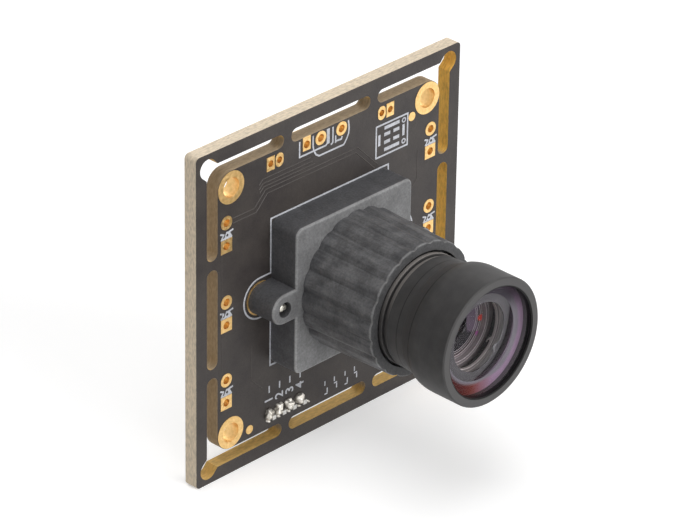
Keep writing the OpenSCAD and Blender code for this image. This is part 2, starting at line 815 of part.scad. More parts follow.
// Outline of the lens barrel from tail to front, as radius and height: the cone
// leaves the neck in a soft curve, and a round blend carries it into the head
module barrel_section() {
    groove_r = thread_r - groove_depth;
    tail_bevel = 0.3;
    bevel_rise = 0.22;
    cone = [for (s = [0:0.25:1]) [neck_r + (cone_top_r - neck_r) * pow(s, 1.3), cone_z + cone_len * s]];
    blend = [for (s = [0.2:0.2:1]) [head_r - (head_r - cone_top_r) * pow(1 - s, 2), blend_z + blend_len * s]];
    polygon(concat([
        [0, tail_z],
        [thread_r - tail_bevel, tail_z],
        [thread_r, tail_z + tail_bevel],
        [thread_r, collar_z - (collar_r - thread_r)],
        [collar_r, collar_z],
        [collar_r, groove_z - 0.06],
        [collar_r - 0.06, groove_z],
        [groove_r, groove_z],
        [groove_r, neck_z],
        [neck_r - neck_step - bevel_rise, neck_z],
        [neck_r - neck_step, neck_z + neck_bevel_len],
        [neck_r - neck_step, cone_z - neck_len / 3],
        [neck_r, cone_z - neck_len / 3]
    ], cone, blend, [
        [head_r, lens_front_z - head_bevel],
        [head_r - head_bevel, lens_front_z],
        [0, lens_front_z]
    ]));
}

module lens_barrel() {
    color([0.22, 0.22, 0.22]) upright() rotate_extrude() difference() {
        barrel_section();
        translate([0, front_seat_z]) square([head_bore_r, front_seat_depth + cut]);
        translate([0, funnel_z]) square([front_bore_r, lens_front_z - funnel_z]);
        translate([0, rear_z]) square([rear_bore_r, lens_front_z - rear_z]);
        translate([0, tail_z - cut]) square([rear_opening_r, lens_front_z - tail_z]);
    }
}

// Segment of a circle over the half chord reach, with its height at the axis
module dome(reach, high) {
    dome_r = (pow(reach, 2) + pow(high, 2)) / (2 * high);
    intersection() {
        translate([0, high - dome_r]) circle(dome_r, $fn = 180);
        square([reach, high]);
    }
}

// A round glass on the lens axis: positive bulges stand out, negative ones are hollow
module glass(r, foot, rim, front, rear, reach) {
    rotate_extrude() translate([0, foot]) difference() {
        union() {
            square([r, rim]);
            if (front > 0) translate([0, rim]) dome(reach, front);
            if (rear > 0) mirror([0, 1]) dome(reach, rear);
        }
        if (front < 0) translate([0, rim]) mirror([0, 1]) dome(reach, -front);
        if (rear < 0) dome(reach, -rear);
    }
}

module ring(foot, tall, outer_r, inner_r) {
    rotate_extrude() translate([inner_r, foot]) square([outer_r - inner_r, tall]);
}

module front_retaining_ring() {
    foot = front_seat_z + front_rim_h + 2 * lens_fit;
    color([0.08, 0.08, 0.08]) upright() ring(foot, retaining_h, head_bore_r, head_bore_r - retaining_w);
}

module front_element() {
    color([0.45, 0.35, 0.5, 0.4]) upright() rotate_extrude() translate([0, front_seat_z]) difference() {
        union() {
            square([front_glass_r, front_rim_h]);
            translate([0, front_rim_h]) dome(front_glass_r, front_bulge);
        }
        dome(hollow_r, hollow_depth);
    }
}

module light_shield() {
    color([0.1, 0.1, 0.1]) upright() ring(shield_z, shield_t, front_stack_r, shield_r);
}

// Spacer that narrows to a lip in front of the second element
module front_spacer() {
    lip_h = 0.3;
    lip_w = 0.4;
    color([0.14, 0.14, 0.14]) upright() rotate_extrude() polygon([
        [front_opening_r, front_spacer_z],
        [front_stack_r, front_spacer_z],
        [front_stack_r, shield_z],
        [front_opening_r + 1.6 * lip_w, shield_z],
        [front_opening_r + lip_w, front_spacer_z + lip_h],
        [front_opening_r, front_spacer_z + lip_h]
    ]);
}

module second_element() {
    color([0.6, 0.7, 0.7, 0.4]) upright()
        glass(front_stack_r, second_z, second_rim, -0.7, 0.6, front_opening_r);
}

// Blackened funnel that narrows to the aperture
module funnel_ring() {
    color([0.14, 0.14, 0.14]) upright() rotate_extrude() polygon([
        [funnel_r, funnel_z],
        [front_stack_r, funnel_z],
        [front_stack_r, second_z],
        [front_opening_r, second_z],
        [front_opening_r, second_z - 0.7],
        [funnel_r, funnel_z + 0.4]
    ]);
}

module aperture_plate() {
    color([0.1, 0.1, 0.1]) upright() ring(stop_z, stop_t, rear_stack_r, stop_r);
}

module third_element() {
    color([0.6, 0.7, 0.7, 0.4]) upright()
        glass(rear_stack_r, third_z, third_rim, -0.3, 0.5, rear_ring_r);
}

module rear_spacer() {
    color([0.14, 0.14, 0.14]) upright() ring(rear_spacer_z, rear_spacer_len, rear_stack_r, rear_ring_r);
}

module rear_element() {
    color([0.6, 0.7, 0.7, 0.4]) upright()
        glass(rear_stack_r, rear_z, rear_rim, 0.6, -0.4, rear_opening_r - 0.1);
}

// Gull wing lead along x, foot outwards, for a body of the given height that
// starts at x = 0: it leaves the body at the lead frame
module gull_lead(reach, body_h, wide) {
    rise = body_h * lead_frame - lead_t / 2;
    translate([0, wide / 2, 0]) rotate([90, 0, 0]) linear_extrude(wide) polygon([
        [0, rise],
        [reach * 0.35, rise],
        [reach * 0.55, 0],
        [reach, 0],
        [reach, lead_t],
        [reach * 0.55 + lead_t, lead_t],
        [reach * 0.35 + lead_t, rise + lead_t],
        [0, rise + lead_t]
    ]);
}

// A moulded body with sloping sides, split at the lead frame
module moulded_body(size, slope) {
    middle = size[2] * lead_frame;
    foot = 0.1;
    for (half = [0, 1]) translate([0, 0, half == 0 ? foot : middle]) {
        tall = half == 0 ? middle - foot : size[2] - middle;
        intersection() {
            translate([-size[0] / 2, size[1] / 2, 0]) rotate([90, 0, 0]) linear_extrude(size[1]) polygon([
                [half == 0 ? slope : 0, 0],
                [size[0] - (half == 0 ? slope : 0), 0],
                [size[0] - (half == 0 ? 0 : slope), tall],
                [half == 0 ? 0 : slope, tall]
            ]);
            translate([-size[0] / 2, -size[1] / 2, 0]) rotate([90, 0, 90]) linear_extrude(size[0]) polygon([
                [half == 0 ? slope : 0, 0],
                [size[1] - (half == 0 ? slope : 0), 0],
                [size[1] - (half == 0 ? 0 : slope), tall],
                [half == 0 ? 0 : slope, tall]
            ]);
        }
    }
}

module processor() {
    color([0.13, 0.13, 0.14]) upright() behind() difference() {
        moulded_body([processor_side, processor_side, processor_h], 0.12);
        translate([0.9 - processor_side / 2, processor_side / 2 - 0.9, processor_h - dimple_depth])
            cylinder(r = dimple_r, h = 1);
    }
}

module processor_leads() {
    start = (processor_leads_side - 1) / 2;
    color([0.8, 0.8, 0.78]) upright() behind() for (turn = [0:90:270], i = [0:processor_leads_side - 1]) {
        rotate(turn) translate([processor_side / 2, (i - start) * processor_pitch, 0])
            gull_lead(1, processor_h, 0.22);
    }
}

module flash_memory() {
    color([0.13, 0.13, 0.14]) upright() behind(flash_at, 90) difference() {
        moulded_body([flash_len, flash_w, flash_h], 0.15);
        translate([0.7 - flash_len / 2, 0.7 - flash_w / 2, flash_h - dimple_depth])
            cylinder(r = dimple_r, h = 1);
    }
}

module flash_leads() {
    color([0.8, 0.8, 0.78]) upright() behind(flash_at, 90) for (side = [90, -90], i = [-1.5:1.5]) {
        rotate(side) translate([flash_w / 2, i * 0.26 * flash_len, 0])
            gull_lead(0.7 * flash_h, flash_h, 0.085 * flash_len);
    }
}

// Ceramic base with a welded metal lid
module crystal() {
    lid = 0.25;
    rim = 0.2;
    color([0.78, 0.77, 0.72]) upright() behind(crystal_at) {
        translate([-crystal_len / 2, -crystal_w / 2, 0]) cube([crystal_len, crystal_w, crystal_h - lid]);
        translate([rim - crystal_len / 2, rim - crystal_w / 2, crystal_h - lid])
            cube([crystal_len - 2 * rim, crystal_w - 2 * rim, lid]);
    }
}

module regulators() {
    color([0.13, 0.13, 0.14]) upright() for (x = regulator_xs) behind([x, regulator_y], 90)
        moulded_body([regulator_len, regulator_w, regulator_h], 0.1);
}

module regulator_leads() {
    reach = 0.55 * regulator_h;
    wide = 0.145 * regulator_len;
    spread = regulator_len / 2 - 0.5;
    color([0.8, 0.8, 0.78]) upright() for (x = regulator_xs) behind([x, regulator_y], 90) {
        for (side = [-1, 1]) rotate(-90) translate([regulator_w / 2, side * spread, 0])
            gull_lead(reach, regulator_h, wide);
        rotate(90) translate([regulator_w / 2, 0, 0]) gull_lead(reach, regulator_h, wide);
    }
}

module bulk_capacitor() {
    color([0.8, 0.62, 0.25]) upright() behind(bulk_at) moulded_body([bulk_len, bulk_w, bulk_h], 0.12);
}

// Straps that fold down the ends of the tantalum body and under it
module bulk_capacitor_leads() {
    thick = 0.1;
    wide = 2.2;
    under = 0.7;
    color([0.8, 0.8, 0.78]) upright() behind(bulk_at) for (turn = [0, 180]) rotate(turn) {
        translate([bulk_len / 2 - under, -wide / 2, 0]) cube([under + thick, wide, thick]);
        translate([bulk_len / 2, -wide / 2, 0]) cube([thick, wide, bulk_h * lead_frame]);
    }
}

// Chip parts: a bar between two tinned end caps
module chip_bar(len, w, h) translate([0, 0, h / 2]) cube([len - 2 * end_cap, w, h], center = true);

module chip_caps(len, w, h) {
    for (side = [-1, 1]) translate([side * (len - end_cap) / 2, 0, h / 2])
        cube([end_cap, w, h], center = true);
}

module at_capacitors() {
    for (turn = [0:90:270], k = [-1, 1])
        rotate(turn) behind([k * decoupling_offset, decoupling_ring]) children();
    for (x = regulator_xs, y = [-1, 1]) behind([x, regulator_y + y * regulator_caps_out]) children();
    for (x = [-1, 1]) behind(crystal_at + [x * crystal_caps_out, -crystal_caps_down]) children();
}

module at_resistors() {
    for (x = [-1, 1], y = [-lamp_row_pitch, middle_resistor_y, lamp_row_pitch])
        behind([x * series_resistor_x, y], 90) children();
    for (x = top_resistor_xs) behind([x, core_half - top_row_down]) children();
}

module at_beads() {
    for (x = bead_xs) behind([x, bead_y], 90) children();
}

module ferrite_beads() {
    color([0.25, 0.25, 0.27]) upright() at_beads() chip_bar(bead_len, bead_w, bead_h);
}

module chip_capacitors() {
    color([0.66, 0.54, 0.4]) upright() at_capacitors() chip_bar(chip_len, chip_w, chip_h);
}

module chip_resistors() {
    color([0.12, 0.12, 0.13]) upright() at_resistors() chip_bar(chip_len, chip_w, resistor_h);
}

module chip_end_caps() {
    color([0.82, 0.82, 0.8]) upright() {
        at_capacitors() chip_caps(chip_len, chip_w, chip_h);
        at_resistors() chip_caps(chip_len, chip_w, resistor_h);
        at_beads() chip_caps(bead_len, bead_w, bead_h);
    }
}

circuit_board();
corner_hole_plating();
lamp_pads();
header_pads();
light_sensor_pads();
ear_hole_lands();
fiducial_marks();
printed_legend();
solder_joints();
cable_header_shroud();
cable_header_pins();
lens_holder();
ear_screws();
sensor_package();
sensor_die();
sensor_cover_glass();
infrared_filter();
lens_barrel();
front_retaining_ring();
front_element();
light_shield();
front_spacer();
second_element();
funnel_ring();
aperture_plate();
third_element();
rear_spacer();
rear_element();
processor();
processor_leads();
flash_memory();
flash_leads();
crystal();
regulators();
regulator_leads();
bulk_capacitor();
bulk_capacitor_leads();
ferrite_beads();
chip_capacitors();
chip_resistors();
chip_end_caps();
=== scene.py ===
# %% [markdown]
# # A board camera, dressed for the studio
# The shapes of this camera come from its construction model: a circuit board in a
# break-off frame, a fluted lens holder and a small lens. This lesson loads that
# model, sets up the studio, gives every surface the finish of the real one, and
# adds the few pieces that are too small or too free in form for the construction
# model. Everything is in metres, in the model's own frame.

# %% Load the model
import bpy
import json
import math
from mathutils import Matrix, Vector
from mathutils import noise as noise_3d


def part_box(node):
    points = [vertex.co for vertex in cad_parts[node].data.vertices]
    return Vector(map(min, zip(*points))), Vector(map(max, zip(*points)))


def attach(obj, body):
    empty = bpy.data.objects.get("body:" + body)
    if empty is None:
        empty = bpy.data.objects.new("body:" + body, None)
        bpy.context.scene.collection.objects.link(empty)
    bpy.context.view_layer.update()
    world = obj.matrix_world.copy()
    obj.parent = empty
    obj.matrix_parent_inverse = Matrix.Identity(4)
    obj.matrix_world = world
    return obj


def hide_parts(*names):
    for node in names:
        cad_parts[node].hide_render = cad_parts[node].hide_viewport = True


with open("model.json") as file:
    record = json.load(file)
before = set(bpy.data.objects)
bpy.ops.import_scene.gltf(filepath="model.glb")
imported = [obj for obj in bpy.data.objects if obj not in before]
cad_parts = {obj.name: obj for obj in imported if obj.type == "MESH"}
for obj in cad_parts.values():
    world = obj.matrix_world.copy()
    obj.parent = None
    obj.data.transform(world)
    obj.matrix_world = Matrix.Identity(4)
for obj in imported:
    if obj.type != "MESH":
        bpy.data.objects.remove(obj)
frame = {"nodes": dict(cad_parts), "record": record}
bpy.ops.object.select_all(action="DESELECT")
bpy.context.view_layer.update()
MM = 0.001
print("nodes loaded:", len(frame["nodes"]))

# %% [markdown]
# The camera module is small, so sizes below are written in millimetres and turned
# into metres where Blender needs them. The board stands upright: x runs to the
# right, z up, and the lens looks along -y. A few places are read from the loaded
# model, so that what is added here follows it.

# %% Places read from the model
def box_mm(node):
    """Lowest and highest corner of a node, in millimetres."""
    low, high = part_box(node)
    return low / MM, high / MM


board_low = box_mm("circuit_board")[0]
lens_low = box_mm("lens_barrel")[0]
BOARD_FRONT = board_low.y
print("board front at y =", round(BOARD_FRONT, 2), "mm, lens front at", round(lens_low.y, 2))

# %% [markdown]
# ## The studio
# A product like this is photographed with a long lens from the front left and a
# little above, standing on a white table. A long lens keeps the board's edges
# almost parallel. The camera is turned by a direction and a small roll, which is
# easier to read than three Euler angles.

# %% Camera
CAMERA_AT = Vector((-292.456, -284.666, 224.045)) * MM
CAMERA_AZIMUTH = math.radians(-46.235)
CAMERA_ELEVATION = math.radians(28.836)
CAMERA_ROLL = math.radians(0.955)
SENSOR_WIDTH = 36
FOCAL_LENGTH = 232.87
NEAREST = 0.01
FARTHEST = 10

camera = bpy.data.objects.new("camera", bpy.data.cameras.new("camera"))
bpy.context.scene.collection.objects.link(camera)
back = Vector((
    math.sin(CAMERA_AZIMUTH) * math.cos(CAMERA_ELEVATION),
    -math.cos(CAMERA_AZIMUTH) * math.cos(CAMERA_ELEVATION),
    math.sin(CAMERA_ELEVATION)))
aim = (-back).to_track_quat("-Z", "Y").to_matrix().to_4x4()
camera.matrix_world = Matrix.Translation(CAMERA_AT) @ aim @ Matrix.Rotation(CAMERA_ROLL, 4, "Z")
camera.data.sensor_width = SENSOR_WIDTH
camera.data.lens = FOCAL_LENGTH
camera.data.clip_start = NEAREST
camera.data.clip_end = FARTHEST
bpy.context.scene.camera = camera
print("camera stands", round(CAMERA_AT.length / MM), "mm from the part")

# %% [markdown]
# The sky is white where it is seen, straight, in a mirror image or through glass,
# while the light that it gives the part stays weak, so that the lamps shape it.
# The Light Path node tells those rays apart. Two helpers build every network of
# this lesson: one adds a node and fills its inputs, the other does one step of
# arithmetic.

# %% Sky
def put(tree, kind, inputs=None, **settings):
    """Adds a node, sets its options and fills its inputs with values or links."""
    node = tree.nodes.new(kind)
    for name, value in settings.items():
        setattr(node, name, value)
    for key, value in (inputs or {}).items():
        if isinstance(value, bpy.types.NodeSocket):
            tree.links.new(value, node.inputs[key])
        else:
            node.inputs[key].default_value = value
    return node


def calc(tree, operation, a, b=0.0, clamp=False):
    """One step of arithmetic, as a socket."""
    return put(tree, "ShaderNodeMath", {0: a, 1: b}, operation=operation, use_clamp=clamp).outputs[0]


def seen_rays(tree):
    """1 for rays that show the background: straight, in a reflection or through glass."""
    path = put(tree, "ShaderNodeLightPath")
    first = calc(tree, "ADD", path.outputs["Is Camera Ray"], path.outputs["Is Glossy Ray"])
    return calc(tree, "ADD", first, path.outputs["Is Transmission Ray"], clamp=True)


AMBIENT = 0.2
WHITE = (1, 1, 1, 1)
world = bpy.data.worlds.new("studio")
bpy.context.scene.world = world
world.use_nodes = True
sky = world.node_tree.nodes["Background"]
level = calc(world.node_tree, "MAXIMUM", seen_rays(world.node_tree), AMBIENT)
world.node_tree.links.new(level, sky.inputs["Strength"])
sky.inputs["Color"].default_value = WHITE
bpy.context.scene.view_settings.view_transform = "Standard"
print("the sky lights the part with strength", AMBIENT)

# %% [markdown]
# The table is matt white and takes the part's shadow. Matt white under lamps isn't
# quite as white as the sky, so the table also glows for the rays that show it, and
# its far edge disappears.

# %% Table
TABLE_WHITE = (0.8, 0.8, 0.8, 1)
TABLE_GLOW = 0.41
TABLE_SIDE = 4
TABLE_GAP = 0.00002


def table_finish():
    """Matt white that glows a little for the rays that show it."""
    finish = bpy.data.materials.new("white_table")
    finish.use_nodes = True
    tree = finish.node_tree
    tree.nodes.remove(tree.nodes["Principled BSDF"])
    matt = put(tree, "ShaderNodeBsdfDiffuse", {"Color": TABLE_WHITE})
    glow = calc(tree, "MULTIPLY", seen_rays(tree), TABLE_GLOW)
    lift = put(tree, "ShaderNodeEmission", {"Color": WHITE, "Strength": glow})
    both = put(tree, "ShaderNodeAddShader", {0: matt.outputs[0], 1: lift.outputs[0]})
    tree.links.new(both.outputs[0], tree.nodes["Material Output"].inputs["Surface"])
    return finish


bpy.ops.mesh.primitive_plane_add(size=TABLE_SIDE, location=(0, 0, board_low.z * MM - TABLE_GAP))
table = bpy.context.object
table.name = "table"
table.data.materials.append(table_finish())
print("the table lies at z =", round(board_low.z, 2), "mm")

# %% [markdown]
# Three square softboxes light the part: the key stands to the right of the camera,
# a weaker one hangs above, and one stands behind the board for its rear face. A
# large lamp near a small part gives soft shadows and broad highlights.

# %% Lamps
LIT_POINT = Vector((0, -0.008, 0))
LAMPS = {
    "key": ((0.1, -0.5, 0.12), 0.45, 3.0),
    "top": ((-0.1, -0.05, 0.5), 0.4, 1.3),
    "back_fill": ((0.3, 0.5, 0.2), 0.4, 1.6),
}


def soft_lamp(name, place, size, power):
    """A square softbox that looks at the middle of the part."""
    lamp = bpy.data.objects.new(name, bpy.data.lights.new(name, "AREA"))
    bpy.context.scene.collection.objects.link(lamp)
    lamp.data.size = size
    lamp.data.energy = power
    lamp.location = place
    to_part = LIT_POINT - lamp.location
    lamp.rotation_euler = to_part.to_track_quat("-Z", "Y").to_euler()


for name, (place, size, power) in LAMPS.items():
    soft_lamp(name, place, size, power)
print("softboxes:", ", ".join(LAMPS))

# %% [markdown]
# ## Finishes
# Every finish is a small network on Object coordinates, so it stays where it is
# when the camera moves. The first helpers say where a point lies, in millimetres,
# and which way the surface looks there.

# %% Places for the finishes
def new_finish(name):
    """A new material, its network and its main shader."""
    finish = bpy.data.materials.new(name)
    finish.use_nodes = True
    tree = finish.node_tree
    return finish, tree, tree.nodes["Principled BSDF"]


def millimetres(tree, stretch=(1, 1, 1)):
    """Object coordinates in millimetres, stretched along an axis where a pattern runs."""
    place = put(tree, "ShaderNodeTexCoord").outputs["Object"]
    scale = Vector(stretch) / MM
    return put(tree, "ShaderNodeMapping", {"Vector": place, "Scale": scale}).outputs[0]


def split(tree, vector):
    """The three parts of a vector."""
    return put(tree, "ShaderNodeSeparateXYZ", {0: vector}).outputs


def across_and_up(tree):
    """Place to the right of the lens axis and above it, in millimetres."""
    place = split(tree, millimetres(tree))
    return place[0], place[2]


def ahead_of_board(tree):
    """Place in front of the board's rear face, in millimetres."""
    return calc(tree, "MULTIPLY", split(tree, millimetres(tree))[1], -1.0)


def looks_ahead(tree):
    """1 where the surface looks to the front of the part, -1 where it looks back."""
    normal = put(tree, "ShaderNodeNewGeometry").outputs["Normal"]
    return calc(tree, "MULTIPLY", split(tree, normal)[1], -1.0)


slots = sorted({part["material_slot"] for part in frame["record"]["subparts"]})
print("finishes to make:", len(slots))

# %% [markdown]
# The next helpers draw patterns on those places: noise, a ramp that turns a value
# into a grey or a colour, a soft step, a band between two places, a thin line at
# one place, and the distance from the lens axis.

# %% Patterns
def noise(tree, at, scale, detail=2.0, roughness=0.5):
    return put(tree, "ShaderNodeTexNoise", {
        "Vector": at, "Scale": scale, "Detail": detail, "Roughness": roughness}).outputs[0]


def ramp(tree, factor, *stops):
    """A colour ramp: each stop is a position and a grey or a colour."""
    node = put(tree, "ShaderNodeValToRGB", {0: factor})
    places = node.color_ramp.elements
    while len(places) < len(stops):
        places.new(0.5)
    for element, (position, colour) in zip(places, stops):
        element.position = position
        shade = (colour,) * 3 if isinstance(colour, (int, float)) else colour
        element.color = (*shade, 1)
    return node.outputs[0]


def step_up(tree, value, low, high):
    """Goes smoothly from 0 to 1 as value goes from low to high, which may be the lower."""
    node = put(tree, "ShaderNodeMapRange", {"Value": value, "From Min": low, "From Max": high},
               interpolation_type="SMOOTHSTEP")
    return node.outputs[0]


def band(tree, value, low, high, soft):
    """1 between low and high, falling off over a soft edge on both sides."""
    rise = step_up(tree, value, low - soft, low + soft)
    fall = step_up(tree, value, high - soft, high + soft)
    return calc(tree, "SUBTRACT", rise, fall)


def line_at(tree, value, middle, half, soft):
    """A thin band on both sides of one place."""
    return band(tree, value, middle - half, middle + half, soft)


def distance(tree, across, up):
    squares = calc(tree, "ADD", calc(tree, "MULTIPLY", across, across), calc(tree, "MULTIPLY", up, up))
    return calc(tree, "SQRT", squares)


print("patterns ready: noise, ramp, step, band, line, distance")

# %% [markdown]
# The last helpers put patterns together. Colours are laid over each other or
# shaded by grey patterns, patterns are added by weight, places overlap, and a
# relief becomes a bump. A finish is kept under the slot that it is made for.

# %% Mixing
# A Mix node set to colours reads them from its inputs 6 and 7, and gives output 2.
def blend_colours(tree, factor, first, second, how="MIX"):
    """The second colour over the first, as far as the factor says."""
    node = put(tree, "ShaderNodeMix", data_type="RGBA", blend_type=how)
    for index, value in ((0, factor), (6, first), (7, second)):
        if isinstance(value, bpy.types.NodeSocket):
            tree.links.new(value, node.inputs[index])
        else:
            node.inputs[index].default_value = value if index == 0 else (*value, 1)
    return node.outputs[2]


def shaded(tree, tone, *patterns):
    """A colour made darker and lighter by grey patterns, one after the other."""
    for pattern in patterns:
        tone = blend_colours(tree, 1.0, tone, pattern, "MULTIPLY")
    return tone


def weighed(tree, first, first_weight, second, second_weight):
    """Two patterns, each times its weight, added up."""
    first_share = calc(tree, "MULTIPLY", first, first_weight)
    second_share = calc(tree, "MULTIPLY", second, second_weight)
    return calc(tree, "ADD", first_share, second_share)


def overlap(tree, common, *others):
    """1 only where every one of the places says 1."""
    for other in others:
        common = calc(tree, "MULTIPLY", common, other)
    return common


def bump(tree, height, distance):
    """Normals of a relief whose full height is distance millimetres."""
    return put(tree, "ShaderNodeBump", {
        "Height": height, "Distance": distance * MM, "Strength": 1.0}).outputs[0]


def link(tree, source, shader, name):
    tree.links.new(source, shader.inputs[name])


slot_finishes = {}


def keep_finish(slot, finish):
    """Keeps a finish for the nodes and pieces of one slot."""
    slot_finishes[slot] = finish
    print("finish of", slot, "has", len(finish.node_tree.nodes), "nodes")


# %% [markdown]
# ### The board
# The board is glass-filled laminate under a black solder mask. The mask covers
# only its two faces, so the finish looks at the surface normal: faces that look
# along y get the mask, and the cut walls show the raw laminate. The outer edges
# are cream and the walls of the module are tan. The thin rails have a painted
# golden glow, amber on the right one, for the light that passes through them. The
# cut fibres run along the board, so the noise there is squeezed across its thickness.

# %% Laminate of the cut walls
CREAM = (0.78, 0.66, 0.5)
TAN = (0.38, 0.3, 0.2)
PAINTED_GOLDEN_GLOW = (0.66, 0.43, 0.14)
PAINTED_AMBER_GLOW = (0.95, 0.58, 0.13)
MODULE_EDGE = (16.6, 17.3)
PANEL_EDGE = (18.4, 18.9)
RIGHT_RAIL = (14.0, 16.0)


def cut_laminate(tree):
    """Colour of the raw cut walls by how far out they lie, with a painted glow on the rails, and the fibres
    in them.
    """
    x, z = across_and_up(tree)
    out = calc(tree, "MAXIMUM", calc(tree, "ABSOLUTE", x), calc(tree, "ABSOLUTE", z))
    # Painted glow of the light that passes through the thin rails, amber on the right one.
    glow = blend_colours(tree, step_up(tree, x, *RIGHT_RAIL), PAINTED_GOLDEN_GLOW, PAINTED_AMBER_GLOW)
    rail = blend_colours(tree, step_up(tree, out, *MODULE_EDGE), TAN, glow)
    bare = blend_colours(tree, step_up(tree, out, *PANEL_EDGE), rail, CREAM)
    fibres = noise(tree, millimetres(tree, (1.8, 5, 1.8)), 1.0, 3)
    streaks = ramp(tree, fibres, (0.3, 0.78), (0.65, 1.1))
    return shaded(tree, bare, streaks), fibres


print("cut walls are golden past", MODULE_EDGE[1], "mm and cream past", PANEL_EDGE[1], "mm")

# %% [markdown]
# The mask is a thin lacquer, so it is never one even black: a slow cloud and a
# fine grain change its tone. It is smoother than the raw laminate.

# %% Board finish
MASK_DARK = (0.036, 0.031, 0.03)
MASK_LIGHT = (0.052, 0.045, 0.041)
BOARD_SHINE = 0.25
RAW_ROUGHNESS = 0.75
MASK_ROUGHNESS = 0.42


def board_finish():
    finish, tree, shader = new_finish("solder_mask_on_laminate")
    at = millimetres(tree)
    is_face = calc(tree, "GREATER_THAN", calc(tree, "ABSOLUTE", looks_ahead(tree)), 0.5)
    grain = noise(tree, at, 9.0, 2)
    mask = ramp(tree, noise(tree, at, 0.35, 3), (0.3, MASK_DARK), (0.7, MASK_LIGHT))
    mask = shaded(tree, mask, ramp(tree, grain, (0.3, 0.86), (0.7, 1.12)))
    raw, fibres = cut_laminate(tree)
    link(tree, blend_colours(tree, is_face, raw, mask), shader, "Base Color")
    shader.inputs["Specular IOR Level"].default_value = BOARD_SHINE
    link(tree, ramp(tree, is_face, (0.0, RAW_ROUGHNESS), (1.0, MASK_ROUGHNESS)), shader, "Roughness")
    link(tree, bump(tree, weighed(tree, grain, 0.25, fibres, 0.5), 0.03), shader, "Normal")
    return finish


keep_finish("board_laminate", board_finish())

# %% [markdown]
# ### Metals
# Gold plating on copper is smooth but not a mirror, so its roughness wanders a
# little. Solder is brighter and rougher, tin is smoother, and the screws are a
# little yellow. One recipe makes them all: one noise moves colour, roughness and
# relief.

# %% Metal finishes
def metal_finish(name, dark, light, rough_low, rough_high, scale, relief):
    """A metal whose colour and roughness wander with one noise."""
    finish, tree, shader = new_finish(name)
    shader.inputs["Metallic"].default_value = 1.0
    cloud = noise(tree, millimetres(tree), scale, 3)
    link(tree, ramp(tree, cloud, (0.3, dark), (0.7, light)), shader, "Base Color")
    link(tree, ramp(tree, cloud, (0.3, rough_low), (0.7, rough_high)), shader, "Roughness")
    link(tree, bump(tree, cloud, relief), shader, "Normal")
    return finish


# Dark and light colour, lowest and highest roughness, scale of the noise, relief.
METALS = {
    "gold_plating": ((0.72, 0.46, 0.17), (0.9, 0.62, 0.28), 0.35, 0.5, 3.0, 0.004),
    "solder": ((0.42, 0.39, 0.34), (0.86, 0.83, 0.78), 0.45, 0.6, 1.6, 0.03),
    "tinned_metal": ((0.6, 0.59, 0.56), (0.76, 0.75, 0.72), 0.25, 0.4, 4.0, 0.005),
    "screw_steel": ((0.5, 0.48, 0.42), (0.9, 0.87, 0.78), 0.35, 0.5, 3.0, 0.02),
    "crystal_can": ((0.55, 0.54, 0.5), (0.7, 0.69, 0.65), 0.3, 0.4, 1.5, 0.004),
}
for name, look in METALS.items():
    keep_finish(name, metal_finish(name, *look))

# %% [markdown]
# ### Plastics, ceramics and ink
# The chip packages, the cable header, the capacitors and the printed ink share one
# recipe: a cloudy colour with a fine grain, which is in the relief too. Only the
# colours, the roughness and the size of the grain differ.

# %% Plastic finishes
PLASTIC_SHINE = 0.25


def plastic_finish(name, dark, light, roughness, grain_scale, relief):
    """Plastic with a cloudy colour and a fine moulded grain."""
    finish, tree, shader = new_finish(name)
    shader.inputs["Specular IOR Level"].default_value = PLASTIC_SHINE
    at = millimetres(tree)
    cloud = noise(tree, at, 0.8, 3, 0.6)
    grain = noise(tree, at, grain_scale, 2)
    tone = ramp(tree, cloud, (0.25, dark), (0.75, light))
    fleck = ramp(tree, grain, (0.3, 0.85), (0.7, 1.15))
    link(tree, shaded(tree, tone, fleck), shader, "Base Color")
    shader.inputs["Roughness"].default_value = roughness
    link(tree, bump(tree, grain, relief), shader, "Normal")
    return finish


# Dark and light colour, roughness, scale of the grain, relief.
PLASTICS = {
    "white_ink": ((0.42, 0.43, 0.46), (0.55, 0.56, 0.6), 0.6, 6.0, 0.01),
    "header_plastic": ((0.66, 0.6, 0.46), (0.74, 0.69, 0.55), 0.45, 5.0, 0.01),
    "package_green": ((0.02, 0.08, 0.05), (0.03, 0.11, 0.07), 0.5, 5.0, 0.01),
    "silicon": ((0.05, 0.035, 0.08), (0.08, 0.05, 0.11), 0.2, 6.0, 0.002),
    "chip_epoxy": ((0.022, 0.022, 0.024), (0.034, 0.034, 0.036), 0.5, 7.0, 0.02),
    "tantalum_yellow": ((0.5, 0.3, 0.06), (0.58, 0.36, 0.08), 0.45, 6.0, 0.01),
    "ferrite": ((0.045, 0.045, 0.05), (0.06, 0.06, 0.065), 0.55, 8.0, 0.01),
    "capacitor_tan": ((0.3, 0.19, 0.1), (0.38, 0.25, 0.13), 0.5, 8.0, 0.01),
    "resistor_black": ((0.018, 0.018, 0.019), (0.028, 0.028, 0.03), 0.25, 5.0, 0.004),
}
for name, look in PLASTICS.items():
    keep_finish(name, plastic_finish(name, *look))

# %% [markdown]
# ### The lens holder
# The holder is dark grey plastic with the fine grain of an eroded mould. It is
# handled when the lens is focused, so it is not one even grey. The barrel has
# scuffs along it, and its ridges get a painted highlight, lighter than the grooves
# between them, which get painted shade.
# The angle round the lens axis, times the number of flutes, gives the ridges.

# %% Side of the holder's barrel
BARREL_DARK = (0.075, 0.075, 0.079)
BARREL_LIGHT = (0.122, 0.122, 0.126)
FLUTES = 20


def barrel_scuffs(tree):
    """Noise drawn out along the axis, in long and in short scuffs."""
    long_scuffs = noise(tree, millimetres(tree, (1.5, 0.07, 1.5)), 1.2, 4, 0.6)
    short_scuffs = noise(tree, millimetres(tree, (1.6, 0.3, 1.6)), 1.3, 4, 0.65)
    return weighed(tree, long_scuffs, 0.6, short_scuffs, 0.4)


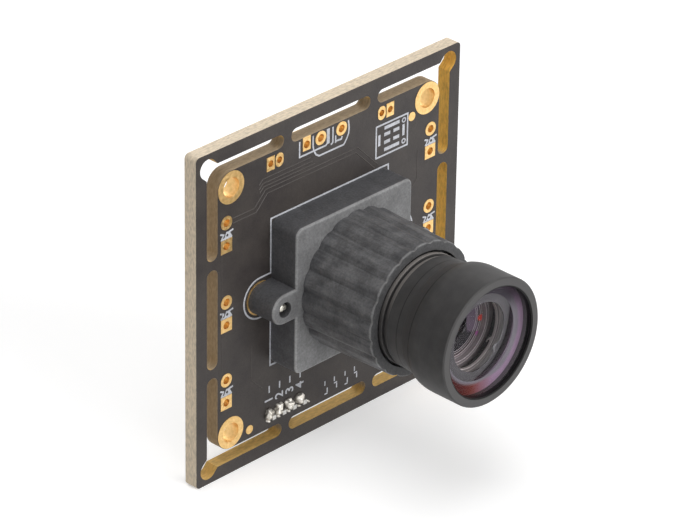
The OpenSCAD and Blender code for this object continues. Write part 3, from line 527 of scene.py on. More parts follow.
def fluted_side(tree, wear):
    """Colour of the fluted side: lighter where it is worn, with a painted highlight on its ridges."""
    x, z = across_and_up(tree)
    turn = calc(tree, "MULTIPLY", calc(tree, "ARCTAN2", z, x), FLUTES)
    # Painted highlight on the ridges and painted shade in the grooves between them.
    painted_ridge_light = ramp(tree, calc(tree, "COSINE", turn), (0.0, 0.92), (0.9, 1.12))
    return shaded(tree, ramp(tree, wear, (0.42, BARREL_DARK), (0.58, BARREL_LIGHT)), painted_ridge_light)


print("flutes round the barrel:", FLUTES)

# %% [markdown]
# The front faces of the base are painted lighter and its flanks painted darker,
# as the light falls from the front, and every rounded edge has a painted
# highlight, lighter still. The face round the mouth has painted shade, its bevel a
# painted highlight, and the underside is painted lighter with light bounced up from
# the table. The direction in which the surface looks and the distance in front of
# the board's rear face tell these places apart, so no face is picked by hand. Each
# pair of values says where a change begins and where it ends, in millimetres.

# %% Holder finish
LIT_FRONT_GREY = (0.165, 0.165, 0.167)
EDGE_HIGHLIGHT_GREY = (0.23, 0.23, 0.232)
SHADED_FLANK_GREY = (0.082, 0.082, 0.087)
SHADED_MOUTH_GREY = (0.075, 0.075, 0.077)
MOUTH_HIGHLIGHT_GREY = (0.19, 0.19, 0.192)
BASE_TOP = (5.15, 5.35)
BASE_EDGES = (6.0, 5.5)
MOUTH = (13.0, 14.0)
MOUTH_BEVEL = (14.3, 14.42)
LOOKS_FRONT = (0.55, 0.95)
LOOKS_SLANTING = (0.35, 0.9)
UNDERSIDE = (-1.0, -6.5)
HOLDER_SHINE = 0.22
HOLDER_ROUGHNESS = 0.58


def holder_finish():
    finish, tree, shader = new_finish("scuffed_moulded_plastic_with_painted_light")
    at = millimetres(tree)
    up = across_and_up(tree)[1]
    depth = ahead_of_board(tree)
    ahead = looks_ahead(tree)
    scuffs = barrel_scuffs(tree)
    cloud = noise(tree, at, 0.55, 3, 0.6)
    side = fluted_side(tree, weighed(tree, scuffs, 0.6, cloud, 0.4))
    # Painted highlight on the bevel of the mouth.
    side = blend_colours(tree, step_up(tree, depth, *MOUTH_BEVEL), side, MOUTH_HIGHLIGHT_GREY)
    # Painted shade on the flanks of the base.
    side = blend_colours(tree, step_up(tree, depth, *BASE_TOP), SHADED_FLANK_GREY, side)
    # Painted light on the front faces, painted shade on the face round the mouth.
    front = blend_colours(tree, step_up(tree, depth, *MOUTH), LIT_FRONT_GREY, SHADED_MOUTH_GREY)
    body = blend_colours(tree, step_up(tree, ahead, *LOOKS_FRONT), side, front)
    # Painted highlight on the rounded edges.
    rounded = overlap(tree, band(tree, ahead, *LOOKS_SLANTING, 0.08), step_up(tree, depth, *BASE_EDGES))
    tone = blend_colours(tree, rounded, body, EDGE_HIGHLIGHT_GREY)
    grain = noise(tree, at, 4.5, 2)
    fleck = ramp(tree, grain, (0.3, 0.84), (0.7, 1.16))
    mottle = ramp(tree, cloud, (0.3, 0.82), (0.7, 1.12))
    # Painted light bounced up from the table, on the underside.
    table_bounce = ramp(tree, step_up(tree, up, *UNDERSIDE), (0.0, 1.0), (1.0, 1.55))
    link(tree, shaded(tree, tone, fleck, mottle, table_bounce), shader, "Base Color")
    shader.inputs["Specular IOR Level"].default_value = HOLDER_SHINE
    shader.inputs["Roughness"].default_value = HOLDER_ROUGHNESS
    link(tree, bump(tree, weighed(tree, grain, 1.0, scuffs, 0.8), 0.03), shader, "Normal")
    return finish


keep_finish("holder_plastic", holder_finish())

# %% [markdown]
# ### The lens barrel
# The barrel is turned and blackened. Turning leaves very fine rings, which are
# the same all the way round, so their noise reads only the place along the axis.
# The collar in front of the thread and the bevel behind the neck have a painted
# warm brown highlight on top, the cone is painted lighter against its shade, two
# thin lines of painted shade cross the barrel at the fine step and where the cone
# meets the blend, and the front bezel is greyer.

# %% Turned metal
TURNED_ROUGHNESS = 0.5
TURNED_SHINE = 0.14


def turned_finish(name, dark, light):
    """Turned and blackened metal: a colour, fine rings and a soft sheen."""
    finish, tree, shader = new_finish(name)
    rings = noise(tree, millimetres(tree, (0.02, 14, 0.02)), 1.0, 2)
    cloud = noise(tree, millimetres(tree), 0.7, 3)
    tone = ramp(tree, cloud, (0.3, dark), (0.7, light))
    tone = shaded(tree, tone, ramp(tree, rings, (0.3, 0.92), (0.7, 1.08)))
    shader.inputs["Roughness"].default_value = TURNED_ROUGHNESS
    shader.inputs["Specular IOR Level"].default_value = TURNED_SHINE
    link(tree, bump(tree, rings, 0.004), shader, "Normal")
    return finish, tree, shader, tone


print("turned metal has roughness", TURNED_ROUGHNESS)

# %% [markdown]
# Only what stands out beyond the neck gets the painted highlight, most of all on
# top, while the underside is painted a little lighter all along with light bounced
# up from the table, as on the holder. The places are again distances in front of
# the board's rear face.

# %% Barrel finish
BARREL_BLACKS = ((0.039, 0.038, 0.038), (0.051, 0.049, 0.049))
LIT_CONE_BLACK = (0.052, 0.05, 0.05)
BROWN_HIGHLIGHT = (0.26, 0.24, 0.225)
CREASE_SHADE = (0.01, 0.01, 0.01)
BEZEL_GREY = (0.075, 0.073, 0.073)
COLLAR = (14.5, 14.88)
BEVEL = (15.1, 15.62)
CONE = (17.7, 19.1)
CREASE_SHADE_DEPTHS = (16.97, 19.17)
BEZEL = (24.0, 24.1)
NECK_R = (5.6, 5.7)
HIGHLIGHT_UP = (0.5, 6.2)
LENS_UNDERSIDE = (3.0, -5.0)


def barrel_finish():
    finish, tree, shader, tone = turned_finish("black_barrel_with_painted_light", *BARREL_BLACKS)
    x, z = across_and_up(tree)
    depth = ahead_of_board(tree)
    outside = step_up(tree, distance(tree, x, z), *NECK_R)
    # Painted light that lifts the cone out of its shade.
    tone = blend_colours(tree, band(tree, depth, *CONE, 0.12), tone, LIT_CONE_BLACK)
    # Painted shade lines at the fine step and where the cone meets the blend.
    for crease in CREASE_SHADE_DEPTHS:
        tone = blend_colours(tree, line_at(tree, depth, crease, 0.04, 0.03), tone, CREASE_SHADE)
    # Painted warm brown highlight on the collar and the bevel, strongest on top.
    highlighted = calc(tree, "ADD", band(tree, depth, *COLLAR, 0.03), band(tree, depth, *BEVEL, 0.03))
    lit_from_above = ramp(tree, step_up(tree, z, *HIGHLIGHT_UP), (0.0, 0.08), (1.0, 0.85))
    tone = blend_colours(tree, overlap(tree, highlighted, outside, lit_from_above), tone, BROWN_HIGHLIGHT)
    # Painted light bounced up from the table, on the underside.
    tone = shaded(tree, tone, ramp(tree, step_up(tree, z, *LENS_UNDERSIDE), (0.0, 1.05), (1.0, 1.5)))
    bezel = overlap(tree, step_up(tree, depth, *BEZEL), step_up(tree, looks_ahead(tree), 0.5, 0.9))
    link(tree, blend_colours(tree, bezel, tone, BEZEL_GREY), shader, "Base Color")
    return finish


keep_finish("barrel_black", barrel_finish())

# %% [markdown]
# ### The rings in the lens
# The rings are blackened too, but seen lit through coated glass they look grey in
# front and brown further in, and that light is painted into their colour. The
# coatings of the glass add painted reflections to the outer rim: lilac, orange and
# dark red, each on its own side. The main shader can't give a coating to glass, so
# its reflections are painted on the metal behind it.

# %% Coating colours
LILAC = (0.28, 0.19, 0.28)
DARK_LILAC = (0.04, 0.025, 0.04)
ORANGE = (0.17, 0.035, 0.026)
DARK_RED = (0.055, 0.008, 0.007)
DARKER_UP = (0.5, 3.8)
ORANGE_ACROSS = (2.5, -1.5)
ORANGE_DOWN = (0.5, -2.5)
RED_ACROSS = (0.3, -3.2)


def coating_reflection(tree, x, z):
    """Painted coating reflection: lilac at the right, darker with painted shade at the top, orange at the
    bottom and dark red at the left.
    """
    # Painted reflection of the coatings, with painted shade at the top.
    colour = blend_colours(tree, step_up(tree, z, *DARKER_UP), LILAC, DARK_LILAC)
    low = overlap(tree, step_up(tree, x, *ORANGE_ACROSS), step_up(tree, z, *ORANGE_DOWN))
    colour = blend_colours(tree, low, colour, ORANGE)
    return blend_colours(tree, step_up(tree, x, *RED_ACROSS), colour, DARK_RED)


print("coating colours: lilac, dark lilac, orange, dark red")

# %% [markdown]
# The front ring is a plain grey shield. Round it lies a rim that is paler, with
# painted shade at the top, and the painted reflections of the coatings show at its
# outer edge, most of all at the lower left. Each colour is given by the distance
# from the lens axis.

# %% Colour of the front ring
SHIELD_GREY = (0.085, 0.083, 0.085)
RIM_GREY = (0.165, 0.155, 0.175)
RIM_SHADE = (0.03, 0.025, 0.033)
RIM_IN_R = 4.62
RIM_SOFT = 0.02
COATED_R = (5.1, 5.55)
SHADE_UP = (0.8, 3.6)
LOWER_LEFT = (-1.0, -4.5)
COATED_WIDER = 0.4


def front_ring_colour(tree, radius, x, z):
    """Grey shield inside, then the rim with its painted shade and the painted reflections of its coatings."""
    # Painted shade at the top of the rim, painted coating reflections at its outer edge.
    grey = blend_colours(tree, step_up(tree, z, *SHADE_UP), RIM_GREY, RIM_SHADE)
    lower_left = step_up(tree, calc(tree, "ADD", x, z), *LOWER_LEFT)
    outer = weighed(tree, radius, 1.0, lower_left, COATED_WIDER)
    rim = blend_colours(tree, step_up(tree, outer, *COATED_R), grey, coating_reflection(tree, x, z))
    return blend_colours(tree, step_up(tree, radius, RIM_IN_R - RIM_SOFT, RIM_IN_R), SHIELD_GREY, rim)


print("the rim begins", RIM_IN_R, "mm from the lens axis")

# %% [markdown]
# Further in, the funnel is painted tan, then brown, then dark, as it looks lit
# through the glass, and its turned edges get painted highlights as thin bright
# circles. A painted violet reflection of the inner elements lies on it. Walls that
# look across the axis get painted shade, except inside the funnel, where they take
# half of its colour, and at the shield, where they take a painted tint of the
# coatings' reflection. Distances from the axis end in R, and the other places are
# depths again.

# %% Colours of the funnel and the walls
RING_TAN = (0.3, 0.27, 0.255)
RING_BROWN = (0.07, 0.055, 0.05)
RING_DARK = (0.012, 0.012, 0.012)
RING_HIGHLIGHT = (0.9, 0.84, 0.8)
VIOLET_REFLECTION = (0.15, 0.12, 0.15)
FUNNEL_R = (3.1, 4.1)
WALL_R = (3.7, 3.8)
# Radius and half width of each bright circle, then depth of each bright step.
ROUND_EDGES = ((4.25, 0.03), (3.9, 0.03), (3.6, 0.02), (3.3, 0.015), (3.1, 0.015))
STEP_EDGES = (19.05, 20.0, 20.9)
FUNNEL = (18.5, 21.8)
SHIELD_WALL = (22.25, 23.1)
VIOLET_ACROSS = (1.9, 3.3)
VIOLET_UP = (-1.6, 1.6)


def funnel_colour(tree, depth, radius, x, z):
    """Faces of the funnel, painted from tan outside to dark at the aperture, with a painted violet reflection
    and painted highlights.
    """
    funnel = ramp(tree, step_up(tree, radius, *FUNNEL_R),
                  (0.1, RING_DARK), (0.25, RING_BROWN), (0.6, RING_BROWN), (0.8, RING_TAN))
    # Painted violet reflection of the inner elements.
    reflection_patch = overlap(tree, band(tree, x, *VIOLET_ACROSS, 0.1), band(tree, z, *VIOLET_UP, 0.2))
    funnel = blend_colours(tree, reflection_patch, funnel, VIOLET_REFLECTION)
    # Painted highlights on the turned edges and steps.
    for edge, half in ROUND_EDGES:
        funnel = blend_colours(tree, line_at(tree, radius, edge, half, 0.03), funnel, RING_HIGHLIGHT)
    for edge in STEP_EDGES:
        funnel = blend_colours(tree, line_at(tree, depth, edge, 0.04, 0.04), funnel, RING_HIGHLIGHT)
    return funnel


def wall_colour(tree, depth, radius, x, z, funnel):
    """Walls that look across the axis: painted shade that takes some colour of what is near, and a painted
    coating reflection at the shield.
    """
    deep = band(tree, depth, *FUNNEL, 0.2)
    # Painted shade on the walls, with half the funnel's colour inside it.
    walls = blend_colours(tree, 0.5, blend_colours(tree, deep, RING_DARK, RING_TAN), funnel)
    walls = blend_colours(tree, step_up(tree, radius, *WALL_R), RING_DARK, walls)
    walls = blend_colours(tree, deep, RING_DARK, walls)
    # Painted tint of the coatings' reflection on the wall at the shield.
    reflected_tint = blend_colours(tree, 0.8, coating_reflection(tree, x, z), RING_DARK)
    return blend_colours(tree, band(tree, depth, *SHIELD_WALL, 0.05), walls, reflected_tint)


print("bright edges on the funnel:", len(ROUND_EDGES) + len(STEP_EDGES))

# %% [markdown]
# Small coloured painted reflections stand round the aperture, as glints of lamps
# do in the coatings of the inner elements. Each is a soft round spot deep in the
# funnel. The finish then puts all the rings together by their depth.

# %% Finish of the rings in the lens
PALE_GREYS = ((0.9, 0.9, 0.9), (1.0, 1.0, 1.0))
# Place across, place up, size and colour of each painted glint.
PAINTED_GLINTS = (
    (3.7, -0.3, 0.4, (0.8, 0.12, 0.08)),
    (3.2, -2.1, 0.3, (0.36, 0.09, 0.27)),
    (0.7, -0.9, 0.4, (0.16, 0.08, 0.03)),
    (0.9, 0.6, 0.4, (0.02, 0.05, 0.03)),
)
GLINT_DEPTH = (19.3, 19.2)
SHIELD_FRONT = (22.15, 22.16)
RETAINER = (23.8, 23.85)


def spot(tree, x, z, at_x, at_z, radius):
    """1 within a soft round spot across the lens axis, 0 outside."""
    away = distance(tree, calc(tree, "SUBTRACT", x, at_x), calc(tree, "SUBTRACT", z, at_z))
    return step_up(tree, away, 1.2 * radius, 0.7 * radius)


def lens_ring_finish():
    finish, tree, shader, turning = turned_finish("blackened_rings", *PALE_GREYS)
    x, z = across_and_up(tree)
    depth = ahead_of_board(tree)
    radius = distance(tree, x, z)
    funnel = funnel_colour(tree, depth, radius, x, z)
    walls = wall_colour(tree, depth, radius, x, z, funnel)
    # Painted reflections of lamps, each a soft spot deep in the funnel.
    for at_x, at_z, size, glow in PAINTED_GLINTS:
        glinting = overlap(tree, spot(tree, x, z, at_x, at_z, size), step_up(tree, depth, *GLINT_DEPTH))
        funnel = blend_colours(tree, glinting, funnel, glow)
    front_ring = front_ring_colour(tree, radius, x, z)
    body = blend_colours(tree, step_up(tree, depth, *SHIELD_FRONT), funnel, front_ring)
    body = blend_colours(tree, step_up(tree, depth, *RETAINER), body, RING_DARK)
    body = blend_colours(tree, step_up(tree, looks_ahead(tree), 0.3, 0.7), walls, body)
    link(tree, shaded(tree, body, turning), shader, "Base Color")
    return finish


keep_finish("flat_black", lens_ring_finish())

# %% [markdown]
# ### Glass
# The elements are refracting glass. An anti-reflection coating makes mirror images
# faint, so the specular tint is black and the index is below that of real glass.
# Shadow rays and diffuse rays go straight through: the rings behind the glass are
# then lit as evenly as they would be without it, with no noise.

# %% Glass finishes
CLOUDING = 0.99
NO_MIRROR = (0, 0, 0, 1)
# Tint and index of refraction.
GLASSES = {
    "clear_glass": ((0.95, 0.97, 0.96), 1.1),
    "filter_glass": ((0.7, 0.85, 0.8), 1.1),
    "coated_glass": ((0.98, 0.97, 0.99), 1.14),
}


def glass_finish(name, tint, index):
    """Smooth glass that bends what is seen through it and lets light through straight."""
    finish, tree, shader = new_finish(name)
    cloud = noise(tree, millimetres(tree), 0.4)
    duller = [CLOUDING * part for part in tint]
    link(tree, ramp(tree, cloud, (0.3, tint), (0.7, duller)), shader, "Base Color")
    shader.inputs["Transmission Weight"].default_value = 1.0
    shader.inputs["IOR"].default_value = index
    shader.inputs["Specular Tint"].default_value = NO_MIRROR
    shader.inputs["Roughness"].default_value = 0.0
    path = put(tree, "ShaderNodeLightPath")
    straight = calc(tree, "MAXIMUM", path.outputs["Is Shadow Ray"], path.outputs["Is Diffuse Ray"])
    clear = put(tree, "ShaderNodeBsdfTransparent", {"Color": (*tint, 1)})
    both = put(tree, "ShaderNodeMixShader", {0: straight, 1: shader.outputs[0], 2: clear.outputs[0]})
    tree.links.new(both.outputs[0], tree.nodes["Material Output"].inputs["Surface"])
    return finish


for name, (tint, index) in GLASSES.items():
    keep_finish(name, glass_finish(name, tint, index))

# %% [markdown]
# ### On to the model
# The record says which material slot each node of the model has. Its object gets
# the finish of that slot, and nothing else about it changes.

# %% Assign the finishes
slot_of_node = {part["node"]: part["material_slot"] for part in frame["record"]["subparts"]}
for node, piece in frame["nodes"].items():
    piece.data.materials.clear()
    piece.data.materials.append(slot_finishes[slot_of_node[node]])
print("finished nodes:", len(slot_of_node))

# %% [markdown]
# ## Added pieces
# Each added piece rides on the one body of this part, takes the finish of a
# material slot from the record, or a finish of its own, and keeps its place in its
# mesh. The next helpers do that, so that a piece needs one line when its shape is
# ready.

# %% Piece helpers
def pick(*pieces):
    """Selects only these pieces and makes the first one active."""
    bpy.ops.object.select_all(action="DESELECT")
    for piece in pieces:
        piece.select_set(True)
    bpy.context.view_layer.objects.active = pieces[0]


def settle(piece):
    """Moves the object's place, turn and size into its mesh."""
    pick(piece)
    bpy.ops.object.transform_apply(location=True, rotation=True, scale=True)


def joined(pieces, name):
    """One settled piece made of several."""
    pick(*pieces)
    if len(pieces) > 1:
        bpy.ops.object.join()
    piece = bpy.context.object
    piece.name = name
    settle(piece)
    return piece


def dress(piece, slot, finish=None):
    """Gives a ready piece the finish of its slot, or the finish given, and the body it rides on."""
    piece.data.materials.clear()
    piece.data.materials.append(finish or slot_finishes[slot])
    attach(piece, "root")
    print(piece.name, "has", len(piece.data.polygons), "faces")


# %% [markdown]
# ### Tracks under the mask
# Copper tracks lie under the solder mask and lift it by a few hundredths of a
# millimetre, so they show as faint lighter lines. A course is a list of corners on
# the front face or on the rear face, each a place in x and z, joined by straight
# lines.

# %% Courses of the tracks
front_tracks = [
    [(-13.9, 10.55), (-10.85, 10.55), (-9.3, 12.1), (3.9, 12.1), (6.6, 9.4), (6.9, 9.1)],
    [(-13.9, 10.0), (-10.6, 10.0), (-9.05, 11.6), (3.65, 11.6), (6.5, 8.75)],
    [(-10.1, 12.0), (-9.6, 12.5), (-2.3, 12.5)],
    [(-10.2, 12.4), (-9.7, 12.9), (-2.6, 12.9)],
    [(-10.2, 12.9), (-9.7, 13.4), (-2.9, 13.4)],
    [(-15.4, 8.3), (-15.4, -7.6)],
    [(-11.2, -5.2), (-11.2, -9.2), (-9.6, -10.8)],
    [(12.9, 8.6), (12.9, 5.2), (11.2, 3.5)],
]
rear_tracks = [
    [(-12.6, 11.6), (-12.6, 3.2), (-11.9, 2.5)],
    [(-6.5, 12.6), (-3.9, 12.6), (-3.2, 11.9), (-3.2, 8.6), (-2.4, 7.8)],
    [(1.9, 12.0), (4.4, 12.0), (6.4, 10.0), (6.4, 8.6)],
    [(-4.8, 2.2), (-7.2, 2.2), (-8.9, 3.9), (-8.9, 5.4)],
    [(-4.8, -2.2), (-7.0, -2.2), (-8.4, -3.6), (-8.4, -8.0)],
    [(-4.8, -1.2), (-7.6, -1.2), (-9.4, -3.0), (-9.4, -12.2)],
    [(4.8, 2.6), (7.8, 2.6), (8.8, 3.6), (8.8, 6.2)],
    [(4.8, -2.6), (6.0, -3.8), (6.0, -5.2)],
    [(13.6, 6.0), (13.6, -6.4)],
    [(-1.6, -5.2), (-1.6, -9.0), (-4.2, -11.6)],
]
print("tracks in front:", len(front_tracks), "and behind:", len(rear_tracks))

# %% [markdown]
# To make a track, a tiny plane is merged to one point, and the point is extruded
# from corner to corner. The chain becomes a curve with a round section, and the
# curve becomes a mesh again. Most of the round section is sunk in the board, and
# only a low ridge stays in view.

# %% Tracks
TRACK_R = 0.09
TRACK_SUNK = 0.055
SPECK = 0.0001
COPPER_LOOK = ((0.05, 0.043, 0.04), (0.066, 0.057, 0.053), 0.4, 5.0, 0.005)


def track(points, face_y, inward):
    """A low ridge along points on one face of the board."""
    bpy.ops.mesh.primitive_plane_add(size=SPECK, location=(0, 0, 0))
    bpy.ops.object.mode_set(mode="EDIT")
    bpy.ops.mesh.merge(type="CENTER")
    sunk_y = face_y + inward * TRACK_SUNK
    chain = [Vector((x, sunk_y, z)) * MM for x, z in points]
    bpy.ops.transform.translate(value=chain[0])
    for last, place in zip(chain, chain[1:]):
        bpy.ops.mesh.extrude_region_move(TRANSFORM_OT_translate={"value": place - last})
    bpy.ops.object.mode_set(mode="OBJECT")
    bpy.ops.object.convert(target="CURVE")
    wire = bpy.context.object
    wire.data.bevel_depth = TRACK_R * MM
    wire.data.bevel_resolution = 1
    wire.data.use_fill_caps = True
    bpy.ops.object.convert(target="MESH")
    return bpy.context.object


masked_copper = plastic_finish("masked_copper", *COPPER_LOOK)
tracks = [track(points, BOARD_FRONT, 1) for points in front_tracks]
tracks += [track(points, 0, -1) for points in rear_tracks]
dress(joined(tracks, "masked_tracks"), "board_laminate", masked_copper)

# %% [markdown]
# ### Vias
# A via joins the tracks of the two faces. The mask covers it, and what shows is a
# tiny raised ring with a dimple. One disc is added as a primitive, its front face
# is inset and pushed back, and copies of it go to every place in front, and to
# those behind that no chip covers.

# %% One via
VIA_R = 0.21
VIA_TALL = 0.06
VIA_RING = 0.07
DIMPLE_SLOPE = 0.03
DIMPLE_DEPTH = 0.025
FACING_FRONT = (math.radians(90), 0, 0)


def via():
    """A low disc with a dimple in its front face."""
    bpy.ops.mesh.primitive_cylinder_add(
        vertices=20, radius=VIA_R * MM, depth=VIA_TALL * MM, rotation=FACING_FRONT)
    disc = bpy.context.object
    settle(disc)
    mesh = disc.data
    front = min(mesh.polygons, key=lambda face: face.center.y).index
    for face in mesh.polygons:
        face.select = face.index == front
    bpy.ops.object.mode_set(mode="EDIT")
    bpy.ops.mesh.select_mode(type="FACE")
    bpy.ops.mesh.inset(thickness=VIA_RING * MM)
    bpy.ops.mesh.inset(thickness=DIMPLE_SLOPE * MM)
    bpy.ops.transform.translate(value=(0, DIMPLE_DEPTH * MM, 0))
    bpy.ops.object.mode_set(mode="OBJECT")
    return disc


model_via = via()
print("a via has", len(model_via.data.polygons), "faces")

# %% [markdown]
# A copy has a mesh of its own, so that all copies can be joined to one piece. The
# ones behind are turned half round, to look the other way.

# %% All vias
VIA_PROUD = 0.015
CHIPS_HALF = 6
CHIPS_LOW = -9
via_places = [
    (-8.75, 11.1), (-8.3, 10.4), (-6.7, 11.1), (-5.5, 11.1), (-4.75, 10.3), (-1.5, 9.25), (-0.3, 10.75),
    (2.8, 10.2), (4.0, 9.9), (-7.25, 9.4), (-12.25, 7.2), (-10.5, 7.2), (-13.9, 5.1), (-13.2, 4.7),
    (3.25, 15.3), (3.4, 13.5), (5.1, 13.0), (14.5, 5.6), (13.8, 3.6), (-13.1, -4.2), (-11.9, -11.6),
    (-1.1, -13.1), (1.4, -12.2), (-10.4, -12.6), (-2.4, -11.6), (11.4, 7.6),
]
rear_places = [(x, z) for x, z in via_places if abs(x) > CHIPS_HALF or z < CHIPS_LOW]


def copy_at(model, place, turn=0.0):
    """A copy with its own mesh, turned about the upright axis."""
    copy = model.copy()
    copy.data = model.data.copy()
    bpy.context.collection.objects.link(copy)
    copy.rotation_euler.z = turn
    copy.location = Vector(place) * MM
    return copy


vias = [copy_at(model_via, (x, BOARD_FRONT + VIA_PROUD, z)) for x, z in via_places]
vias += [copy_at(model_via, (x, -VIA_PROUD, z), math.pi) for x, z in rear_places]
bpy.data.objects.remove(model_via)
dress(joined(vias, "masked_vias"), "board_laminate", masked_copper)

# %% [markdown]
# ### Solder joints
# The four pins of the cable header are soldered by hand from the front. Such
# joints are lumpy and bright, each a little different. To make a lump, a ball is
# added and pulled to its size, smooth noise pushes it about, and whatever would
# sink into the board is laid flat on it.

# %% A lump of solder
COARSE_NOISE = 1.7
FINE_NOISE = 4.1
FINE_SHARE = 0.25
SEAT = 0.01
SMOOTH_ANGLE = math.radians(60)


def drop(at, size, seed, unrest, turn=0.0):
    """A lump of solder: at and size in millimetres, unrest is how far the noise pushes."""
    bpy.ops.mesh.primitive_ico_sphere_add(subdivisions=4, radius=1, location=(0, 0, 0))
    lump = bpy.context.object
    lump.scale = Vector(size) * MM
    lump.rotation_euler.y = math.radians(turn)
    lump.location = Vector(at) * MM
    settle(lump)
    middle = Vector(at)
    for corner in lump.data.vertices:
        place = corner.co / MM
        push = noise_3d.noise(place * COARSE_NOISE + Vector((seed, 0, 0)))
        push += FINE_SHARE * noise_3d.noise(place * FINE_NOISE)
        place += (place - middle).normalized() * push * unrest
        place.y = min(place.y, BOARD_FRONT + SEAT)
        corner.co = place * MM
    bpy.ops.object.shade_smooth_by_angle(angle=SMOOTH_ANGLE)
    return lump


joints_low, joints_high = box_mm("solder_joints")
print("solder joints lie between x =", round(joints_low.x, 2), "and", round(joints_high.x, 2), "mm")

# %% [markdown]
# Every joint is one big lump round the pin, a small one below it and a ridge to
# its right, where the iron left it. The last joint ends in a spike. The finished
# joints stand for the plain ones of the model.

# %% Solder joints
PINS = 4
SOLDER_SHIFT = -0.2
JOINT_R = (joints_high.z - joints_low.z) / 2
joint_z = (joints_low.z + joints_high.z) / 2
joint_span = joints_high.x - joints_low.x - 2 * JOINT_R
joint_xs = [joints_low.x + JOINT_R + i * joint_span / (PINS - 1) for i in range(PINS)]
drops = []
for number, x in enumerate(joint_xs):
    left = x + SOLDER_SHIFT
    drops.append(drop((left, BOARD_FRONT - 0.1, joint_z + 0.25), (0.5, 0.5, 0.62), 3.1 * number, 0.3))
    drops.append(drop((left - 0.05, BOARD_FRONT, joint_z - 0.6), (0.3, 0.3, 0.17), 5.7 + number, 0.1, 30))
    drops.append(drop((left + 0.42, BOARD_FRONT, joint_z - 0.15), (0.32, 0.35, 0.16), 9.3 + number, 0.12, 35))
last = joint_xs[-1] + SOLDER_SHIFT
drops.append(drop((last + 0.35, BOARD_FRONT, joint_z + 0.35), (0.36, 0.4, 0.42), 15.0, 0.2))
drops.append(drop((last + 1.2, BOARD_FRONT, joint_z - 0.55), (0.46, 0.28, 0.13), 21.0, 0.08, 38))
solder = joined(drops, "hand_soldered_joints")
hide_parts("solder_joints")
dress(solder, "solder")

# %% [markdown]
# ### Screw tips
# The points of the two ear screws are not the clean cones of the model. A small
# worn tip sits on each, and catches the light in the dark hole of the ear. A lump
# like those of the solder has the right worn shape.

# %% Screw tips
TIP_SIZE = (0.56, 0.3, 0.42)
TIP_SEED = 31.0
TIP_UNREST = 0.16
TIP_RIGHT = 0.1
TIP_BACK = 0.12
TIP_Z = -0.05
screws_low, screws_high = box_mm("ear_screws")
HEAD_R = (screws_high.z - screws_low.z) / 2
tips = []
for side in (-1, 1):
    tip_x = side * (screws_high.x - HEAD_R)
    tip_at = (tip_x + TIP_RIGHT, screws_low.y + TIP_BACK, TIP_Z)
    tips.append(drop(tip_at, TIP_SIZE, TIP_SEED + side, TIP_UNREST))
dress(joined(tips, "screw_tips"), "screw_steel")

# %% [markdown]
# ### Painted rims of the front elements
# The rims of the two front elements are ground and painted, so that no stray
# light gets in there. A circle is filled, inset and opened to make a flat ring for
# each, and an open cylinder makes the side of the first element.

# %% Faces of the painted rims
PAINT_T = 0.01
SIDE_LEN = 1.5
SECOND_IN_R = 3.9
ROUND_SIDES = 144


def flat_ring(outer, inner, y):
    """A flat ring round the lens axis, at one place along it."""
    bpy.ops.object.select_all(action="DESELECT")
    bpy.ops.mesh.primitive_circle_add(
        vertices=ROUND_SIDES, radius=outer * MM, fill_type="NGON",
        location=(0, y * MM, 0), rotation=FACING_FRONT)
    bpy.ops.object.mode_set(mode="EDIT")
    bpy.ops.mesh.select_all(action="SELECT")
    bpy.ops.mesh.inset(thickness=(outer - inner) * MM)
    bpy.ops.mesh.delete(type="FACE")
    bpy.ops.object.mode_set(mode="OBJECT")
    return bpy.context.object


first_high = box_mm("front_element")[1]
funnel_low, funnel_high = box_mm("funnel_ring")
paint_r = first_high.x - PAINT_T
paint_y = first_high.y - PAINT_T
first_rim = flat_ring(paint_r, RIM_IN_R, paint_y)
second_rim = flat_ring(funnel_high.x - PAINT_T, SECOND_IN_R, funnel_low.y - PAINT_T)
bpy.ops.mesh.primitive_cylinder_add(
    vertices=ROUND_SIDES, radius=paint_r * MM, depth=SIDE_LEN * MM, end_fill_type="NOTHING",
    location=(0, (paint_y - SIDE_LEN / 2) * MM, 0), rotation=FACING_FRONT)
paint = joined([first_rim, bpy.context.object, second_rim], "painted_rims")
print("paint reaches", round(paint_r, 2), "mm from the lens axis")

# %% [markdown]
# The side and the ring of the first element are merged where they meet. A Solidify
# modifier then gives all of it the thickness of the paint, just inside the glass,
# and the normals are made to point outwards.

# %% Thickness of the paint
MERGE_WITHIN = 0.001
bpy.ops.object.mode_set(mode="EDIT")
bpy.ops.mesh.select_all(action="SELECT")
bpy.ops.mesh.remove_doubles(threshold=MERGE_WITHIN * MM)
bpy.ops.object.mode_set(mode="OBJECT")
skin = paint.modifiers.new("paint thickness", "SOLIDIFY")
skin.thickness = PAINT_T * MM
skin.offset = 0
bpy.ops.object.modifier_apply(modifier=skin.name)
bpy.ops.object.mode_set(mode="EDIT")
bpy.ops.mesh.select_all(action="SELECT")
bpy.ops.mesh.normals_make_consistent(inside=False)
bpy.ops.object.mode_set(mode="OBJECT")
dress(paint, "flat_black")

# %% [markdown]
# ### Printed marks
# The pins carry plain numbers, each with a short bar, and a row of plain dashes
# stands to their right. A number is a text object that is made a mesh while it
# still lies at the origin. A dash is a cube with its edges bevelled.

# %% Numbers and dashes
INK_T = 0.02
INK_BEVEL = 0.008
INK_Y = BOARD_FRONT - INK_T / 2
FONT_SCALE = 1.4
STROKE_GAIN = 0.012


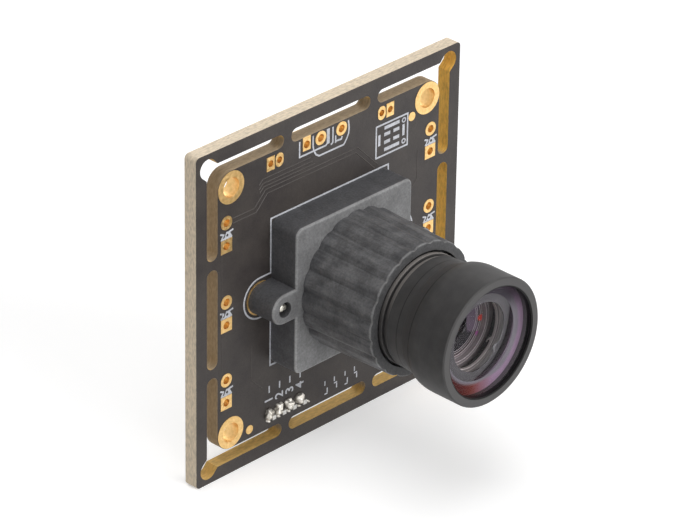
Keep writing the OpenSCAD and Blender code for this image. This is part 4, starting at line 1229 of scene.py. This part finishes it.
def printed_number(text, place, height):
    """A number that is turned to read from below upwards."""
    bpy.ops.object.text_add(location=(0, 0, 0))
    number = bpy.context.object
    number.data.body = text
    number.data.align_x = "CENTER"
    number.data.align_y = "CENTER"
    number.data.extrude = INK_T / 2 / (height * FONT_SCALE)
    number.data.offset = STROKE_GAIN
    bpy.ops.object.convert(target="MESH")
    number = bpy.context.object
    number.scale = (height * FONT_SCALE * MM,) * 3
    number.rotation_euler = (math.radians(90), math.radians(-90), 0)
    number.location = Vector((place[0], INK_Y, place[1])) * MM
    return number


def dash(place, size, face_y=INK_Y):
    """A bar of ink, with the size given across and up."""
    bpy.ops.mesh.primitive_cube_add(size=1, location=(place[0] * MM, face_y * MM, place[1] * MM))
    bar = bpy.context.object
    bar.scale = Vector((size[0], INK_T, size[1])) * MM
    settle(bar)
    bpy.ops.object.mode_set(mode="EDIT")
    bpy.ops.mesh.select_all(action="SELECT")
    bpy.ops.mesh.bevel(offset=INK_BEVEL * MM, segments=1)
    bpy.ops.object.mode_set(mode="OBJECT")
    return bar


print("ink is", INK_T, "mm thick")

# %% [markdown]
# Each number stands above its pin, and its bar above the number. The row of dashes
# is made of small corners: two upright strokes, one lower than the other, and a
# flat one that lies by turns lower and higher.

# %% Printed marks
NUMBER_Z = -12.6
NUMBER_HEIGHT = 1.15
NUMBER_LEFT = 0.05
BAR_RISE = 1.25
BAR_SIZE = (0.19, 0.8)
ROW_XS = (-0.4, 1.0, 2.6, 4.0)
UPRIGHT = (0.16, 0.55)
HIGH_Z = -14.0
LOW_Z = -14.9
LOW_RIGHT = 0.35
FLAT = (0.45, 0.16)
FLAT_Z = -15.3
FLAT_RISE = 0.8
FLAT_RIGHT = 0.18
marks = []
for number, x in enumerate(joint_xs):
    marks.append(printed_number(str(number + 1), (x - NUMBER_LEFT, NUMBER_Z), NUMBER_HEIGHT))
    marks.append(dash((x - NUMBER_LEFT, NUMBER_Z + BAR_RISE), BAR_SIZE))
for column, x in enumerate(ROW_XS):
    marks.append(dash((x, HIGH_Z), UPRIGHT))
    marks.append(dash((x + LOW_RIGHT, LOW_Z), UPRIGHT))
    marks.append(dash((x + FLAT_RIGHT, FLAT_Z + column % 2 * FLAT_RISE), FLAT))
dress(joined(marks, "printed_numbers_and_dashes"), "white_ink")

# %% [markdown]
# The rear face has a legend too: a plain outline round each chip, which shows
# where it goes when the board is assembled. The outlines follow the boxes of the
# nodes, so they stay right when the model changes.

# %% Rear legend
LEGEND_GAP = 0.35
LEGEND_LINE = 0.15
LEGEND_Y = INK_T / 2
OUTLINED = (
    ("processor", "processor_leads"), ("flash_memory", "flash_leads"), ("crystal",),
    ("bulk_capacitor", "bulk_capacitor_leads"), ("cable_header_shroud",))


def outline_round(low, high):
    """Four bars round a box, seen from behind."""
    left, right = low.x - LEGEND_GAP, high.x + LEGEND_GAP
    bottom, top = low.z - LEGEND_GAP, high.z + LEGEND_GAP
    across = ((right - left) + LEGEND_LINE, LEGEND_LINE)
    up = (LEGEND_LINE, (top - bottom) - LEGEND_LINE)
    middle_x, middle_z = (left + right) / 2, (bottom + top) / 2
    bars = [((middle_x, bottom), across), ((middle_x, top), across),
            ((left, middle_z), up), ((right, middle_z), up)]
    return [dash(place, size, LEGEND_Y) for place, size in bars]


rear_marks = []
for nodes in OUTLINED:
    corners = [box_mm(node) for node in nodes]
    low = Vector([min(corner[0][axis] for corner in corners) for axis in range(3)])
    high = Vector([max(corner[1][axis] for corner in corners) for axis in range(3)])
    rear_marks += outline_round(low, high)
dress(joined(rear_marks, "rear_printed_outlines"), "white_ink")
